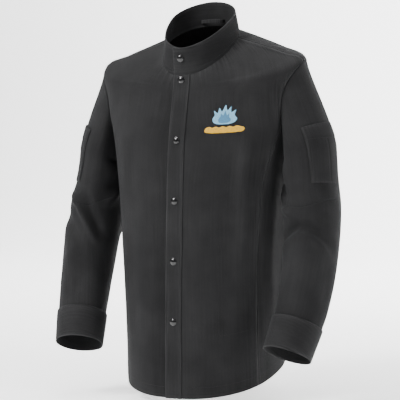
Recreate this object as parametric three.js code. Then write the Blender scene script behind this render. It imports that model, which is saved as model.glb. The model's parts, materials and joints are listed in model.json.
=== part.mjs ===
// Welder's jacket in flame-resistant cotton: stand collar, lapped snap front, set-in sleeves.
// Millimetres, +Z up, front faces -Y, the wearer's left is +X.
// The curves are drawn with z = 0 at the front hem; the group moves the origin to the back neck seam.
import * as THREE from "three";
import { mergeVertices } from "three/addons/utils/BufferGeometryUtils.js";

// ---- overall sizes ------------------------------------------------------------------------
const BODY_LENGTH = 765;
const HALF_SHOULDER = 230;
const COLLAR_HEIGHT = 48;

// ---- cloth, seams and snaps -------------------------------------------------------------
const CLOTH = 2;
const SEAM_GAP = 0.3;
const COLLAR_CLOTH = 3;
const COLLAR_PROUD = 0.5;
const PLACKET_HALF = 18;
const PLACKET_CLOTH = 1.2;
const BAND_GAP = 0.55;
const LAP_RAMP = 32;
const SNAP_CAP_RADIUS = 7.5;
const SNAP_CAP_HEIGHT = 2.8;
const SOCKET_RADIUS = 6;
const SOCKET_BORE = 4.3;
const SOCKET_HEIGHT = 1.5;
const STUD_RADIUS = 2.3;
const STUD_REACH = 1.2;
const POST_RADIUS = 5;
const POST_HEIGHT = 1;
const SNAP_SIDES = 12;
const SNAP_SLACK = 0.6;
const COLLAR_SLACK = 1.5;
const FIRST_SNAP_Z = BODY_LENGTH - 118;
const SNAP_PITCH = 122.8;
const PLACKET_SNAPS = 5;
const COLLAR_SNAP_X = 0;
const COLLAR_SNAP_RISE = 0.62;
const CUFF_HEIGHT = 58;
const CUFF_CLOTH = 2.4;
const CUFF_GAP = 0.8;
const POCKET_CLOTH = 1.2;
const POCKET_DEPTH = 1.2;
const POCKET_RIM = 4;
const POCKET_GAP = 0.55;
const EMBLEM_CLOTH = 0.8;
const EMBLEM_WIDE = 84;
const EMBLEM_TALL = 60;
const EMBLEM_X = 101;
const EMBLEM_Z = BODY_LENGTH - 202;
const POCKET_NEAR_X = 94;
const POCKET_WIDE = 75;
const POCKET_FOOT_Z = 125;
const POCKET_TALL = 180;
const LOOP_HALF_WIDTH = 26;
const LOOP_REACH = 11;
const LOOP_TAPE = 8;
const LOOP_CLOTH = 1.4;
const LOOP_SEAT = 0.25;

// How far each layer of the lapped front lies under the face of the left front.
const LAP_DROP = CLOTH + SNAP_SLACK + SOCKET_HEIGHT + SEAM_GAP;
const COLLAR_LAP_DROP = COLLAR_CLOTH + COLLAR_SLACK + SOCKET_HEIGHT + SEAM_GAP;

// ---- the body of the jacket: rings from the hem to the neck seam -------------------------
// half: half width; front, back: the ring's y at the centre lines; ridge: y of its widest point
// side, low, high: height at the widest point, the centre front and the centre back; power: squareness
// The pattern is drawn in its base size, and graded to the overall sizes.
const BASE_LENGTH = 765;
const BASE_HALF_SHOULDER = 230;
const tall = BODY_LENGTH / BASE_LENGTH;
const wide = HALF_SHOULDER / BASE_HALF_SHOULDER;
const RINGS = [
  { half: 165, front: -148, back: 158, ridge: 5, side: 41, low: 0, high: 83, power: 2.25 },
  { half: 166, front: -143, back: 157, ridge: 7, side: 165, low: 130, high: 200, power: 2.35 },
  { half: 171, front: -137, back: 156, ridge: 10, side: 290, low: 262, high: 318, power: 2.45 },
  { half: 179, front: -129, back: 155, ridge: 13, side: 412, low: 392, high: 434, power: 2.55 },
  { half: 194, front: -117, back: 152, ridge: 14, side: 525, low: 505, high: 545, power: 2.55 },
  { half: 216, front: -101, back: 143, ridge: 12, side: 615, low: 583, high: 634, power: 2.35 },
  { half: 230, front: -90, back: 124, ridge: 9, side: 682, low: 629, high: 702, power: 2.1 },
  { half: 189, front: -88, back: 108, ridge: 11, side: 699, low: 639, high: 729, power: 2.05 },
  { half: 134, front: -87, back: 89, ridge: 13, side: 717, low: 648, high: 750, power: 2 },
  { half: 81, front: -86.5, back: 68, ridge: 15, side: 733, low: 656, high: 765, power: 1.95 },
].map((ring) => ({
  ...ring, half: ring.half * wide, side: ring.side * tall, low: ring.low * tall, high: ring.high * tall,
}));
const NECK = RINGS.at(-1);
const COLLAR_TOP = {
  half: NECK.half - 9, front: -93, back: 67, ridge: 14, power: 1.9,
  side: NECK.side - 1 + COLLAR_HEIGHT, low: NECK.low + 8 + COLLAR_HEIGHT, high: NECK.high + COLLAR_HEIGHT,
};
const SHOULDER = 6 / 9;

// ---- armhole, seams and sleeve ------------------------------------------------------------
const ARMHOLE_LOW = 0.425;
const ARMHOLE_FRONT_DEG = 14.5;
const ARMHOLE_BACK_DEG = 17;
const SEAM_TURN_DEG = 120;
const SEAM_DEG = [24, 26, 26.5, 24, 15];
// at: centre line; out, in: reach away from and towards the body; fore: reach to front and back
const SLEEVE = [
  { at: [206, 18, 604], out: 82, in: 60, fore: 72 },
  { at: [219, 15, 522], out: 71, in: 36, fore: 70 },
  { at: [234, 8, 442], out: 65, in: 46, fore: 66 },
  { at: [249, -9, 372], out: 62, in: 54, fore: 63 },
  { at: [257, -33, 290], out: 58, in: 56, fore: 58 },
  { at: [254, -70, 190], out: 52, in: 52, fore: 53 },
  { at: [240, -117, 97], out: 47, in: 47, fore: 48 },
].map(({ at: [x, y, z], ...reach }) => (
  { ...reach, at: [x + HALF_SHOULDER - BASE_HALF_SHOULDER, y, z * tall] }));
const HEAD_BLEND = 0.22;
const UNDERARM_BLEND = 0.33;
const ARMHOLE_GAP = 0.5;
const SLEEVE_SIDES = 24;
const SEAM_ROWS = 11;
const ARMHOLE_ROWS = (SLEEVE_SIDES * SEAM_TURN_DEG) / 360;
const SHOULDER_ROWS = 5;
const PANEL_ROWS = SEAM_ROWS + ARMHOLE_ROWS + SHOULDER_ROWS;
const SIDE_COLUMNS = SLEEVE_SIDES - 2 * ARMHOLE_ROWS;
const ELBOW_Y = -23;
const ELBOW_Z = 325 * tall;
const ELBOW_CUT = 78;
const ELBOW_GAP = 0.8;
const SLEEVE_POCKET = { low: 0.15, high: 0.395, from: -12, to: 58 };

const deg = THREE.MathUtils.degToRad;
const mix = THREE.MathUtils.lerp;
const ease = (t) => THREE.MathUtils.smoothstep(t, 0, 1);
const Y = new THREE.Vector3(0, 1, 0);

// A smooth curve through evenly spaced numbers.
function through(values, t) {
  return new THREE.SplineCurve(values.map((value) => new THREE.Vector2(value, 0))).getPoint(t).x;
}

function ringPoint(ring, angle) {
  const depth = Math.sin(angle) < 0 ? ring.ridge - ring.front : ring.back - ring.ridge;
  const across = (Math.abs(Math.cos(angle)) / ring.half) ** ring.power;
  const along = (Math.abs(Math.sin(angle)) / depth) ** ring.power;
  const reach = (across + along) ** (-1 / ring.power);
  const share = (reach * Math.abs(Math.sin(angle))) / depth;
  const end = Math.sin(angle) < 0 ? ring.low : ring.high;
  return new THREE.Vector3(
    reach * Math.cos(angle), ring.ridge + reach * Math.sin(angle), mix(ring.side, end, share));
}

// The body's outer face: angle runs round from the wearer's left, height from hem (0) to neck (1).
function bodyPoint(angle, height) {
  const ring = {};
  for (const key of Object.keys(RINGS[0])) {
    ring[key] = through(RINGS.map((each) => each[key]), height);
  }
  return ringPoint(ring, angle);
}

function collarPoint(angle, height) {
  return ringPoint(NECK, angle).lerp(ringPoint(COLLAR_TOP, angle), height);
}

// A face with its outward normal, from two small steps along it.
function faceNormal(face, a, b) {
  const step = 1e-3;
  const low = THREE.MathUtils.clamp(b - step, 0, 1 - 2 * step);
  const alongA = face(a + step, b).sub(face(a - step, b));
  const alongB = face(a, low + 2 * step).sub(face(a, low));
  return alongA.cross(alongB).normalize();
}

function lifted(face, a, b, rise, normalAt = a) {
  return face(a, b).addScaledVector(faceNormal(face, normalAt, b), rise);
}

// ---- closed solids from three.js shapes --------------------------------------------------
function closed(geometry, place) {
  const position = geometry.getAttribute("position");
  for (let i = 0; i < position.count; i += 1) {
    const point = place(position.getX(i), position.getY(i), position.getZ(i));
    position.setXYZ(i, point.x, point.y, point.z);
  }
  geometry.deleteAttribute("normal");
  geometry.deleteAttribute("uv");
  const merged = mergeVertices(geometry, 1e-3);
  merged.computeVertexNormals();
  return merged;
}

// A flat sheet bent into place: u and v run over its face, w through its thickness.
function sheet(columns, rows, place) {
  const flat = new THREE.BoxGeometry(1, 1, 1, columns, rows, 1);
  return closed(flat, (x, y, z) => place(x + 0.5, y + 0.5, z + 0.5));
}

// A tube's wall bent into place: the angle runs round, v along and w through its thickness.
function tube(sides, rows, place) {
  const outline = [];
  for (let i = 0; i <= rows; i += 1) {
    outline.push(new THREE.Vector2(2, i / rows));
  }
  for (let i = rows; i >= 0; i -= 1) {
    outline.push(new THREE.Vector2(1, i / rows));
  }
  outline.push(outline[0].clone());
  const ring = new THREE.LatheGeometry(outline, sides);
  return closed(ring, (x, y, z) => place(Math.atan2(x, z), y, Math.hypot(x, z) - 1));
}

// ---- edges of the panels -------------------------------------------------------------------
const armholeMiddle = (SHOULDER + ARMHOLE_LOW) / 2;
const armholeReach = (SHOULDER - ARMHOLE_LOW) / 2;
const SEAM_TOP = armholeMiddle + armholeReach * Math.cos(deg(SEAM_TURN_DEG));

function armholeAngle(height, widest) {
  const share = (height - armholeMiddle) / armholeReach;
  return deg(widest) * Math.sqrt(Math.max(0, 1 - share * share));
}

// The side seams run from the hem to the armhole; the last angle meets the armhole's edge.
function seamAngle(height, widest) {
  const top = THREE.MathUtils.radToDeg(armholeAngle(SEAM_TOP, widest));
  return deg(through([...SEAM_DEG.slice(0, -1), top], Math.min(1, height / SEAM_TOP)));
}

// How far round from the wearer's side a front or back panel starts, at any height.
function panelEdge(height, widest) {
  if (height <= SEAM_TOP) {
    return seamAngle(height, widest);
  }
  return height < SHOULDER ? armholeAngle(height, widest) : 0;
}

function seamAllowance(point) {
  return SEAM_GAP / 2 / Math.hypot(point.x, point.y);
}

// Rows of a front or back panel: up the side seam, round the armhole, along the shoulder seam.
// The armhole's rows keep the sleeve's steps, so that the two edges run side by side.
function panelHeight(v) {
  const row = v * PANEL_ROWS;
  if (row <= SEAM_ROWS) {
    return mix(0, SEAM_TOP, row / SEAM_ROWS);
  }
  if (row <= SEAM_ROWS + ARMHOLE_ROWS) {
    const turn = deg(SEAM_TURN_DEG) * (1 - (row - SEAM_ROWS) / ARMHOLE_ROWS);
    return armholeMiddle + armholeReach * Math.cos(turn);
  }
  return mix(SHOULDER, 1, (row - SEAM_ROWS - ARMHOLE_ROWS) / SHOULDER_ROWS);
}

// The angle at which a face passes a chosen x: along its front from -PI, along its back from PI.
function angleAt(face, x, height, from = -Math.PI) {
  let low = from;
  let high = 0;
  for (let i = 0; i < 40; i += 1) {
    const middle = (low + high) / 2;
    if (face(middle, height).x < x) {
      low = middle;
    } else {
      high = middle;
    }
  }
  return (low + high) / 2;
}

function heightAt(z) {
  let low = 0;
  let high = 1;
  for (let i = 0; i < 40; i += 1) {
    const middle = (low + high) / 2;
    if (bodyPoint(-Math.PI / 2, middle).z < z) {
      low = middle;
    } else {
      high = middle;
    }
  }
  return (low + high) / 2;
}

const mirrored = (point) => new THREE.Vector3(-point.x, point.y, point.z);

// ---- body panels -----------------------------------------------------------------------------
// A front is drawn as the wearer's left one. The right one is mirrored and dives under the lap.
function frontPanel(drop, mirror) {
  return sheet(12, PANEL_ROWS, (u, v, w) => {
    const height = panelHeight(v);
    const share = mirror ? 1 - u : u;
    const centre = angleAt(bodyPoint, -PLACKET_HALF, height);
    const edge = -panelEdge(height, ARMHOLE_FRONT_DEG);
    const gap = seamAllowance(bodyPoint(edge, height));
    const angle = mix(centre, edge - gap, share);
    const under = 1 - ease((bodyPoint(angle, height).x - PLACKET_HALF - 2) / LAP_RAMP);
    const rise = -drop * under - CLOTH * (1 - w);
    const point = lifted(bodyPoint, angle, height, rise, mix(centre, edge, share));
    return mirror ? mirrored(point) : point;
  });
}

function band(drop, cloth, mirror) {
  return sheet(4, PANEL_ROWS, (u, v, w) => {
    const x = mix(-PLACKET_HALF, PLACKET_HALF, mirror ? 1 - u : u);
    const height = panelHeight(v);
    const angle = angleAt(bodyPoint, x, height);
    const point = lifted(bodyPoint, angle, height, drop - cloth * (1 - w));
    return mirror ? mirrored(point) : point;
  });
}

function backPanel() {
  return sheet(20, PANEL_ROWS, (u, v, w) => {
    const height = panelHeight(v);
    const edge = panelEdge(height, ARMHOLE_BACK_DEG);
    const gap = seamAllowance(bodyPoint(edge, height));
    const angle = mix(edge + gap, Math.PI - edge - gap, u);
    const normalAt = mix(edge, Math.PI - edge, u);
    return lifted(bodyPoint, angle, height, -CLOTH * (1 - w), normalAt);
  });
}

// Its columns follow the sleeve's steps along the low part of the armhole.
function sidePanel(mirror) {
  return sheet(SIDE_COLUMNS, SEAM_ROWS, (u, v, w) => {
    const turn = deg(mix(SEAM_TURN_DEG, 360 - SEAM_TURN_DEG, mirror ? 1 - u : u));
    const top = armholeMiddle + armholeReach * Math.cos(turn);
    const height = mix(0, top, v);
    const share = -Math.sin(turn) / Math.sin(deg(SEAM_TURN_DEG));
    const widest = share < 0 ? ARMHOLE_FRONT_DEG : ARMHOLE_BACK_DEG;
    const edge = seamAngle(v * SEAM_TOP, widest);
    const gap = seamAllowance(bodyPoint(0, height));
    const rise = -CLOTH * (1 - w);
    const point = lifted(bodyPoint, share * (edge - gap), height, rise, share * edge);
    return mirror ? mirrored(point) : point;
  });
}

// ---- collar ------------------------------------------------------------------------------------
function collarFront(drop, mirror) {
  return sheet(10, 3, (u, v, w) => {
    const height = mix(SEAM_GAP * 2 / COLLAR_HEIGHT, 1, v);
    const start = angleAt(collarPoint, -PLACKET_HALF - 1, height);
    const end = -seamAllowance(collarPoint(0, height));
    const angle = mix(start, end, mirror ? 1 - u : u);
    const under = 1 - ease((collarPoint(angle, height).x - PLACKET_HALF - 3) / LAP_RAMP);
    const rise = COLLAR_PROUD - drop * under - COLLAR_CLOTH * (1 - w);
    const point = lifted(collarPoint, angle, height, rise);
    return mirror ? mirrored(point) : point;
  });
}

function collarBack() {
  return sheet(16, 3, (u, v, w) => {
    const height = mix(SEAM_GAP * 2 / COLLAR_HEIGHT, 1, v);
    const gap = seamAllowance(collarPoint(0, height));
    const angle = mix(gap, Math.PI - gap, u);
    return lifted(collarPoint, angle, height, COLLAR_PROUD - COLLAR_CLOTH * (1 - w));
  });
}

// A tape that bows forward from the inside of the collar's base.
function hangerLoop() {
  return sheet(12, 1, (u, v, w) => {
    const turn = mix(0, Math.PI, u);
    const reach = LOOP_REACH - LOOP_CLOTH * w;
    const x = (LOOP_HALF_WIDTH - LOOP_CLOTH * w) * Math.cos(turn);
    const angle = angleAt(collarPoint, x, LOOP_SEAT, Math.PI);
    const seat = lifted(collarPoint, angle, LOOP_SEAT, COLLAR_PROUD - COLLAR_CLOTH - BAND_GAP);
    return new THREE.Vector3(x, seat.y - reach * Math.sin(turn), seat.z - LOOP_TAPE * (1 - v));
  });
}

// ---- sleeves ------------------------------------------------------------------------------------
const sleeveLine = new THREE.CatmullRomCurve3(
  SLEEVE.map((ring) => new THREE.Vector3(...ring.at)), false, "catmullrom", 0.5);

// Angle 0 is the outer (shoulder) side, a quarter turn is the front.
function armholeEdge(angle) {
  const widest = Math.sin(angle) > 0 ? ARMHOLE_FRONT_DEG : ARMHOLE_BACK_DEG;
  const height = armholeMiddle + armholeReach * Math.cos(angle);
  const turn = -deg(widest) * Math.sin(angle);
  const centre = bodyPoint(0, armholeMiddle);
  const point = bodyPoint(turn, height);
  const normal = faceNormal(bodyPoint, turn, height);
  const inward = centre.sub(point);
  inward.addScaledVector(normal, -inward.dot(normal)).normalize();
  return point.addScaledVector(normal, SEAM_GAP).addScaledVector(inward, ARMHOLE_GAP);
}

function sleevePoint(angle, along, rise) {
  const centre = sleeveLine.getPoint(along);
  const tangent = sleeveLine.getTangent(along);
  const fore = Y.clone().negate();
  fore.addScaledVector(tangent, -fore.dot(tangent)).normalize();
  const out = fore.clone().cross(tangent);
  const side = Math.cos(angle) > 0 ? "out" : "in";
  const outReach = through(SLEEVE.map((ring) => ring[side]), along);
  const foreReach = through(SLEEVE.map((ring) => ring.fore), along);
  const round = centre.clone()
    .addScaledVector(out, outReach * Math.cos(angle))
    .addScaledVector(fore, foreReach * Math.sin(angle));
  const sewn = armholeEdge(angle).add(centre).sub(sleeveLine.getPoint(0));
  const blend = mix(UNDERARM_BLEND, HEAD_BLEND, (1 + Math.cos(angle)) / 2);
  return sewn.lerp(round, ease(along / blend))
    .addScaledVector(out, rise * Math.cos(angle))
    .addScaledVector(fore, rise * Math.sin(angle));
}

// Where a line along the sleeve passes the round cut at the elbow.
function elbowCut(angle, radius, rise) {
  let low = 0.33;
  let high = 0.6;
  for (let i = 0; i < 30; i += 1) {
    const middle = (low + high) / 2;
    const point = sleevePoint(angle, middle, rise);
    if (Math.hypot(point.y - ELBOW_Y, point.z - ELBOW_Z) > radius) {
      low = middle;
    } else {
      high = middle;
    }
  }
  return (low + high) / 2;
}

const sleeveLength = sleeveLine.getLength();
const cuffStart = 1 - CUFF_HEIGHT / sleeveLength;

function upperSleeve(mirror) {
  return tube(SLEEVE_SIDES, 8, (turn, v, w) => {
    const angle = mirror ? -turn : turn;
    const rise = -CLOTH * (1 - w);
    const point = sleevePoint(angle, elbowCut(angle, ELBOW_CUT + ELBOW_GAP, rise) * v, rise);
    return mirror ? mirrored(point) : point;
  });
}

function lowerSleeve(mirror) {
  return tube(SLEEVE_SIDES, 8, (turn, v, w) => {
    const angle = mirror ? -turn : turn;
    const rise = -CLOTH * (1 - w);
    const start = elbowCut(angle, ELBOW_CUT, rise);
    const point = sleevePoint(angle, mix(start, cuffStart + 10 / sleeveLength, v), rise);
    return mirror ? mirrored(point) : point;
  });
}

function cuff(mirror) {
  return tube(SLEEVE_SIDES, 2, (turn, v, w) => {
    const angle = mirror ? -turn : turn;
    const rise = CUFF_GAP + CUFF_CLOTH * w;
    const point = sleevePoint(angle, mix(cuffStart, 1, v), rise);
    return mirror ? mirrored(point) : point;
  });
}

// A pocket lies on its cloth along three edges and stands off it between them, open at the top.
function pouch(columns, rows, face, wide, tall) {
  return sheet(columns, rows, (u, v, w) => {
    const nearSide = Math.min(u, 1 - u) * wide < POCKET_RIM;
    const nearFoot = v * tall < POCKET_RIM;
    const under = nearSide || nearFoot ? POCKET_GAP : POCKET_GAP + POCKET_DEPTH;
    const over = POCKET_GAP + POCKET_DEPTH + POCKET_CLOTH;
    return face(u, v, w > 0.5 ? over : under);
  });
}

function sleevePocket(mirror) {
  return pouch(9, 9, (u, v, rise) => {
    const turn = mix(SLEEVE_POCKET.to, SLEEVE_POCKET.from, mirror ? 1 - u : u);
    const along = mix(SLEEVE_POCKET.high, SLEEVE_POCKET.low, v);
    const point = sleevePoint(deg(turn), along, rise);
    return mirror ? mirrored(point) : point;
  }, 88, 120);
}

// ---- pieces sewn to the left front --------------------------------------------------------------
function emblem() {
  const low = heightAt(EMBLEM_Z - EMBLEM_TALL / 2);
  const high = heightAt(EMBLEM_Z + EMBLEM_TALL / 2);
  return sheet(6, 4, (u, v, w) => {
    const height = mix(low, high, v);
    const x = EMBLEM_X + EMBLEM_WIDE * (u - 0.5);
    const angle = angleAt(bodyPoint, x, height);
    return lifted(bodyPoint, angle, height, SEAM_GAP + EMBLEM_CLOTH * w);
  });
}

// The bag hangs inside the front, open at the top, and its far edge meets the side seam.
function insidePocket() {
  const low = heightAt(POCKET_FOOT_Z);
  const high = heightAt(POCKET_FOOT_Z + POCKET_TALL);
  const face = (u, v, rise) => {
    const height = mix(low, high, v);
    const near = angleAt(bodyPoint, POCKET_NEAR_X, height);
    const far = -panelEdge(height, ARMHOLE_FRONT_DEG);
    return lifted(bodyPoint, mix(near, far, u), height, -CLOTH - rise);
  };
  return pouch(8, 8, (u, v, rise) => face(1 - u, v, rise), POCKET_WIDE, POCKET_TALL);
}

// ---- snaps ----------------------------------------------------------------------------------------
function turned(profile) {
  const points = profile.map(([radius, rise]) => new THREE.Vector2(radius, rise));
  const shape = new THREE.LatheGeometry(points, SNAP_SIDES);
  return closed(shape, (x, y, z) => new THREE.Vector3(x, y, z));
}

function snapCap() {
  const rim = SNAP_CAP_HEIGHT * 0.45;
  return turned([
    [0, 0], [SNAP_CAP_RADIUS, 0], [SNAP_CAP_RADIUS, rim],
    [SNAP_CAP_RADIUS * 0.8, SNAP_CAP_HEIGHT * 0.85], [0, SNAP_CAP_HEIGHT],
  ]);
}

function socket() {
  return turned([
    [SOCKET_BORE, 0], [SOCKET_RADIUS, 0], [SOCKET_RADIUS, SOCKET_HEIGHT],
    [SOCKET_BORE, SOCKET_HEIGHT], [SOCKET_BORE, 0],
  ]);
}

function disc(radius, height) {
  return turned([[0, 0], [radius, 0], [radius, height], [0, height]]);
}

// ---- the assembly ---------------------------------------------------------------------------------
const group = new THREE.Group();
const CLOTH_LOOK = { color: 0x2b2d30, roughness: 0.92, metalness: 0 };
const SNAP_LOOK = { color: 0x17181a, roughness: 0.22, metalness: 0.85 };
const EMBLEM_LOOK = { color: 0xdfe9f2, roughness: 0.7, metalness: 0 };

function add(name, geometry, look = CLOTH_LOOK) {
  const mesh = new THREE.Mesh(geometry, new THREE.MeshStandardMaterial(look));
  mesh.name = name;
  group.add(mesh);
  return mesh;
}

// Seats a turned piece on a face: its axis follows the outward normal.
function seat(mesh, face, x, height, rise) {
  const angle = angleAt(face, x, height);
  mesh.position.copy(lifted(face, angle, height, rise));
  mesh.quaternion.setFromUnitVectors(Y, faceNormal(face, angle, height));
}

// Cap and socket are riveted through the left front, stud and post through the right one.
// proud: the left cloth's face above the drawn one; trim: the placket over it, facing: that under it
function addSnap(number, face, x, height, { proud, cloth, slack, trim, facing }) {
  const place = (name, shape, rise) => {
    seat(add(`snap_${name}_${number}`, shape, SNAP_LOOK), face, x, height, rise);
  };
  const lining = proud - cloth - slack;
  const underlap = lining - SOCKET_HEIGHT - SEAM_GAP;
  place("cap", snapCap(), proud + trim + SEAM_GAP);
  place("socket", socket(), lining - SOCKET_HEIGHT);
  place("stud", disc(STUD_RADIUS, STUD_REACH), underlap + SEAM_GAP);
  place("post", disc(POST_RADIUS, POST_HEIGHT), underlap - cloth - facing - slack - POST_HEIGHT);
}

add("back_panel", backPanel());
add("left_side_panel", sidePanel(false));
add("right_side_panel", sidePanel(true));
add("collar_back", collarBack());
add("hanger_loop", hangerLoop());
add("left_front_panel", frontPanel(0, false));
add("left_placket", band(BAND_GAP + PLACKET_CLOTH, PLACKET_CLOTH, false));
add("left_collar", collarFront(0, false));
add("inside_pocket", insidePocket());
add("chest_emblem", emblem(), EMBLEM_LOOK);
add("right_front_panel", frontPanel(LAP_DROP, true));
add("right_facing", band(-LAP_DROP - CLOTH - BAND_GAP, PLACKET_CLOTH, true));
add("right_collar", collarFront(COLLAR_LAP_DROP, true));
for (const [side, mirror] of [["left", false], ["right", true]]) {
  add(`${side}_upper_sleeve`, upperSleeve(mirror));
  add(`${side}_sleeve_pocket`, sleevePocket(mirror));
  add(`${side}_lower_sleeve`, lowerSleeve(mirror));
  add(`${side}_cuff`, cuff(mirror));
}
addSnap(1, collarPoint, COLLAR_SNAP_X, COLLAR_SNAP_RISE,
  { proud: COLLAR_PROUD, cloth: COLLAR_CLOTH, slack: COLLAR_SLACK, trim: 0, facing: 0 });
const bandDepth = PLACKET_CLOTH + BAND_GAP;
for (let i = 0; i < PLACKET_SNAPS; i += 1) {
  addSnap(i + 2, bodyPoint, 0, heightAt(FIRST_SNAP_Z - SNAP_PITCH * i),
    { proud: 0, cloth: CLOTH, slack: SNAP_SLACK, trim: bandDepth, facing: bandDepth });
}

// The origin is the middle of the back neck seam, where a hanger or a neck holds the jacket.
group.position.set(0, -NECK.back, -NECK.high);

export default group;
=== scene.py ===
# %% [markdown]
# # A welder's cloth jacket
# The jacket is sewn from one heavy twill: a back, two sides, two fronts that lap over each other,
# a stand collar, two sleeves with cuffs, three pockets and six snaps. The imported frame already
# has the right sizes and the joints, so each cloth piece is drawn over its frame node as a fine
# sheet that follows the same formulas, and then gets the folds, hems and stitches that a solid
# lacks.

# %% Load the frame
import json
import math

import bmesh
import bpy
import numpy as np
from mathutils import Matrix, Vector
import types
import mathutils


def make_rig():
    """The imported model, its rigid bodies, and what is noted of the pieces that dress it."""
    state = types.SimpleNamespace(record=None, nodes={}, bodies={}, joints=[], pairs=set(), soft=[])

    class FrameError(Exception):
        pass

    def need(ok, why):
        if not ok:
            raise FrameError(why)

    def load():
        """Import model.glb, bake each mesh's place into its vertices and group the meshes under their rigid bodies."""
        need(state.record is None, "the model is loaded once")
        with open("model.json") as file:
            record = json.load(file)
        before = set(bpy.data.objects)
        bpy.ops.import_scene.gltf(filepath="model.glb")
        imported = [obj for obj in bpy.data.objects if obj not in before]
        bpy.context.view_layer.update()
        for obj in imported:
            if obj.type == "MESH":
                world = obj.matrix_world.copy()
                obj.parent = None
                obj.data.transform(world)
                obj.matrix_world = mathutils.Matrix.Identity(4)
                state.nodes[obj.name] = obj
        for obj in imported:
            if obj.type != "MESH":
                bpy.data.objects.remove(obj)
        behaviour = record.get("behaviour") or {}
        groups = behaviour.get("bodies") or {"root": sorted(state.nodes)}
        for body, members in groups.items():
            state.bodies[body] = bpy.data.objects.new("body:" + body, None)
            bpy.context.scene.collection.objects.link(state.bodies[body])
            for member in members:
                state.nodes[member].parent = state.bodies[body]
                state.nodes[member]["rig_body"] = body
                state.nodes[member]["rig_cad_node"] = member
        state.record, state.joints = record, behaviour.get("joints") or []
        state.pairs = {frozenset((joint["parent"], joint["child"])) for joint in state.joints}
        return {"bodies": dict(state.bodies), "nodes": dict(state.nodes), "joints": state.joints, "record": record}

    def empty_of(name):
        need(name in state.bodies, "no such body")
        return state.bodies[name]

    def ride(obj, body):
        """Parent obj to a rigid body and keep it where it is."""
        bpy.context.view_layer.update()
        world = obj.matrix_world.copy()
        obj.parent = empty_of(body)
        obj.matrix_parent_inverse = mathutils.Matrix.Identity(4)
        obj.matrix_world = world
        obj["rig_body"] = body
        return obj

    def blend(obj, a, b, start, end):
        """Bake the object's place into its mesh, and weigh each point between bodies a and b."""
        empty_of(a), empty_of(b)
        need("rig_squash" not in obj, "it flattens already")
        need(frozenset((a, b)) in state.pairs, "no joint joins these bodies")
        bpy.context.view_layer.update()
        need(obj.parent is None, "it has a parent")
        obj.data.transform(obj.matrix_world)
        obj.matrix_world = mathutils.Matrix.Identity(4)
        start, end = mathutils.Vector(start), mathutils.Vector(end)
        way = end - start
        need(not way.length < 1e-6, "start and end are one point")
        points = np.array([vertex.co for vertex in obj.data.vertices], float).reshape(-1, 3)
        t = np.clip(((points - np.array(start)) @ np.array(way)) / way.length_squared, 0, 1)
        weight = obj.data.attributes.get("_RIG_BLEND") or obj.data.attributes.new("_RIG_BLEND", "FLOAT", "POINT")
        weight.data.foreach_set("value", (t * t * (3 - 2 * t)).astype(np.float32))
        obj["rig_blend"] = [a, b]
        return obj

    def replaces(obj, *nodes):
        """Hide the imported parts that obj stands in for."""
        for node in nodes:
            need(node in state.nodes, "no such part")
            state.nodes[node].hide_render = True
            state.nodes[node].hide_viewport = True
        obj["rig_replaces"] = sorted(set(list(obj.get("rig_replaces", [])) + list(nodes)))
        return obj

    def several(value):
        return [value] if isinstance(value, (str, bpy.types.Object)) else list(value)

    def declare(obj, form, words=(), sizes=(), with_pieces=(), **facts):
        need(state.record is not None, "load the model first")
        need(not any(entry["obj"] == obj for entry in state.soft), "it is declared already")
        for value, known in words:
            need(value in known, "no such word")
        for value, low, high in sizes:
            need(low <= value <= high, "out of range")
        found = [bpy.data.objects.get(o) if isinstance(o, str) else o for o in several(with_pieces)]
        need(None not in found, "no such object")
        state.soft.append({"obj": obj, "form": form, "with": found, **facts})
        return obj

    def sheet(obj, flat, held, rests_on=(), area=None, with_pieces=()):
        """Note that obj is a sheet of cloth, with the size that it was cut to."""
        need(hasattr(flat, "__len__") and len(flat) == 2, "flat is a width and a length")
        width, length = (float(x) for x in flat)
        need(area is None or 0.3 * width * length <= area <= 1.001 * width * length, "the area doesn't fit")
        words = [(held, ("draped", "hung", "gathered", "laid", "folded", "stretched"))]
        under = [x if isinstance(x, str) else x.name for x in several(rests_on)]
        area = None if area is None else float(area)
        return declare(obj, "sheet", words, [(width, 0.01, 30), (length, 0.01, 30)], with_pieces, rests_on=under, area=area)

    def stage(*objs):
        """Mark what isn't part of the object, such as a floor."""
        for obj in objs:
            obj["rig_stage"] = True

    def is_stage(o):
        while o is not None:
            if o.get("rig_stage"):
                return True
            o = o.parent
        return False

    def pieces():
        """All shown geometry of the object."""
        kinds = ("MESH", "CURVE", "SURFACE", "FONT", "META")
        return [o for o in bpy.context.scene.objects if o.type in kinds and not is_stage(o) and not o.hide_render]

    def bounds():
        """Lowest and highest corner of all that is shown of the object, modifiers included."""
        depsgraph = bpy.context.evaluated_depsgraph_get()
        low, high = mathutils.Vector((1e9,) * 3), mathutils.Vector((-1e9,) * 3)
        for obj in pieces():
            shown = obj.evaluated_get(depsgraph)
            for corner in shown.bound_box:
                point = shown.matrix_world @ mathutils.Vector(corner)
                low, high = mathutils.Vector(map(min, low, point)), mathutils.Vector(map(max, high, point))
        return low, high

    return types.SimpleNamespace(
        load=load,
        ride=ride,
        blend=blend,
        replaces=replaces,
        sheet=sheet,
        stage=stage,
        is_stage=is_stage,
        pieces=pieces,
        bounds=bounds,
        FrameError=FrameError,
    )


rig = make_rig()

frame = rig.load()
frame_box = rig.bounds()
print("frame box", [round(x, 4) for corner in frame_box for x in corner])

# %% [markdown]
# The cloth faces are worked out in drawn millimetres, with the front hem at height 0. The frame's
# origin is the middle of the back neck seam, so one shift by that seam's drawn place turns drawn
# millimetres into the frame's metres. The wearer's right side is the left one mirrored in x.

# %% Curves and the body's rings
NECK_SEAM = np.array([0.0, 68.0, 765.0])
FLIP = np.array([-1.0, 1.0, 1.0])
SIDES = (("left", False), ("right", True))


def to_frame(points):
    return (np.asarray(points, float) - NECK_SEAM) / 1000


def mirrored(points, mirror):
    return points * FLIP if mirror else points


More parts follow.
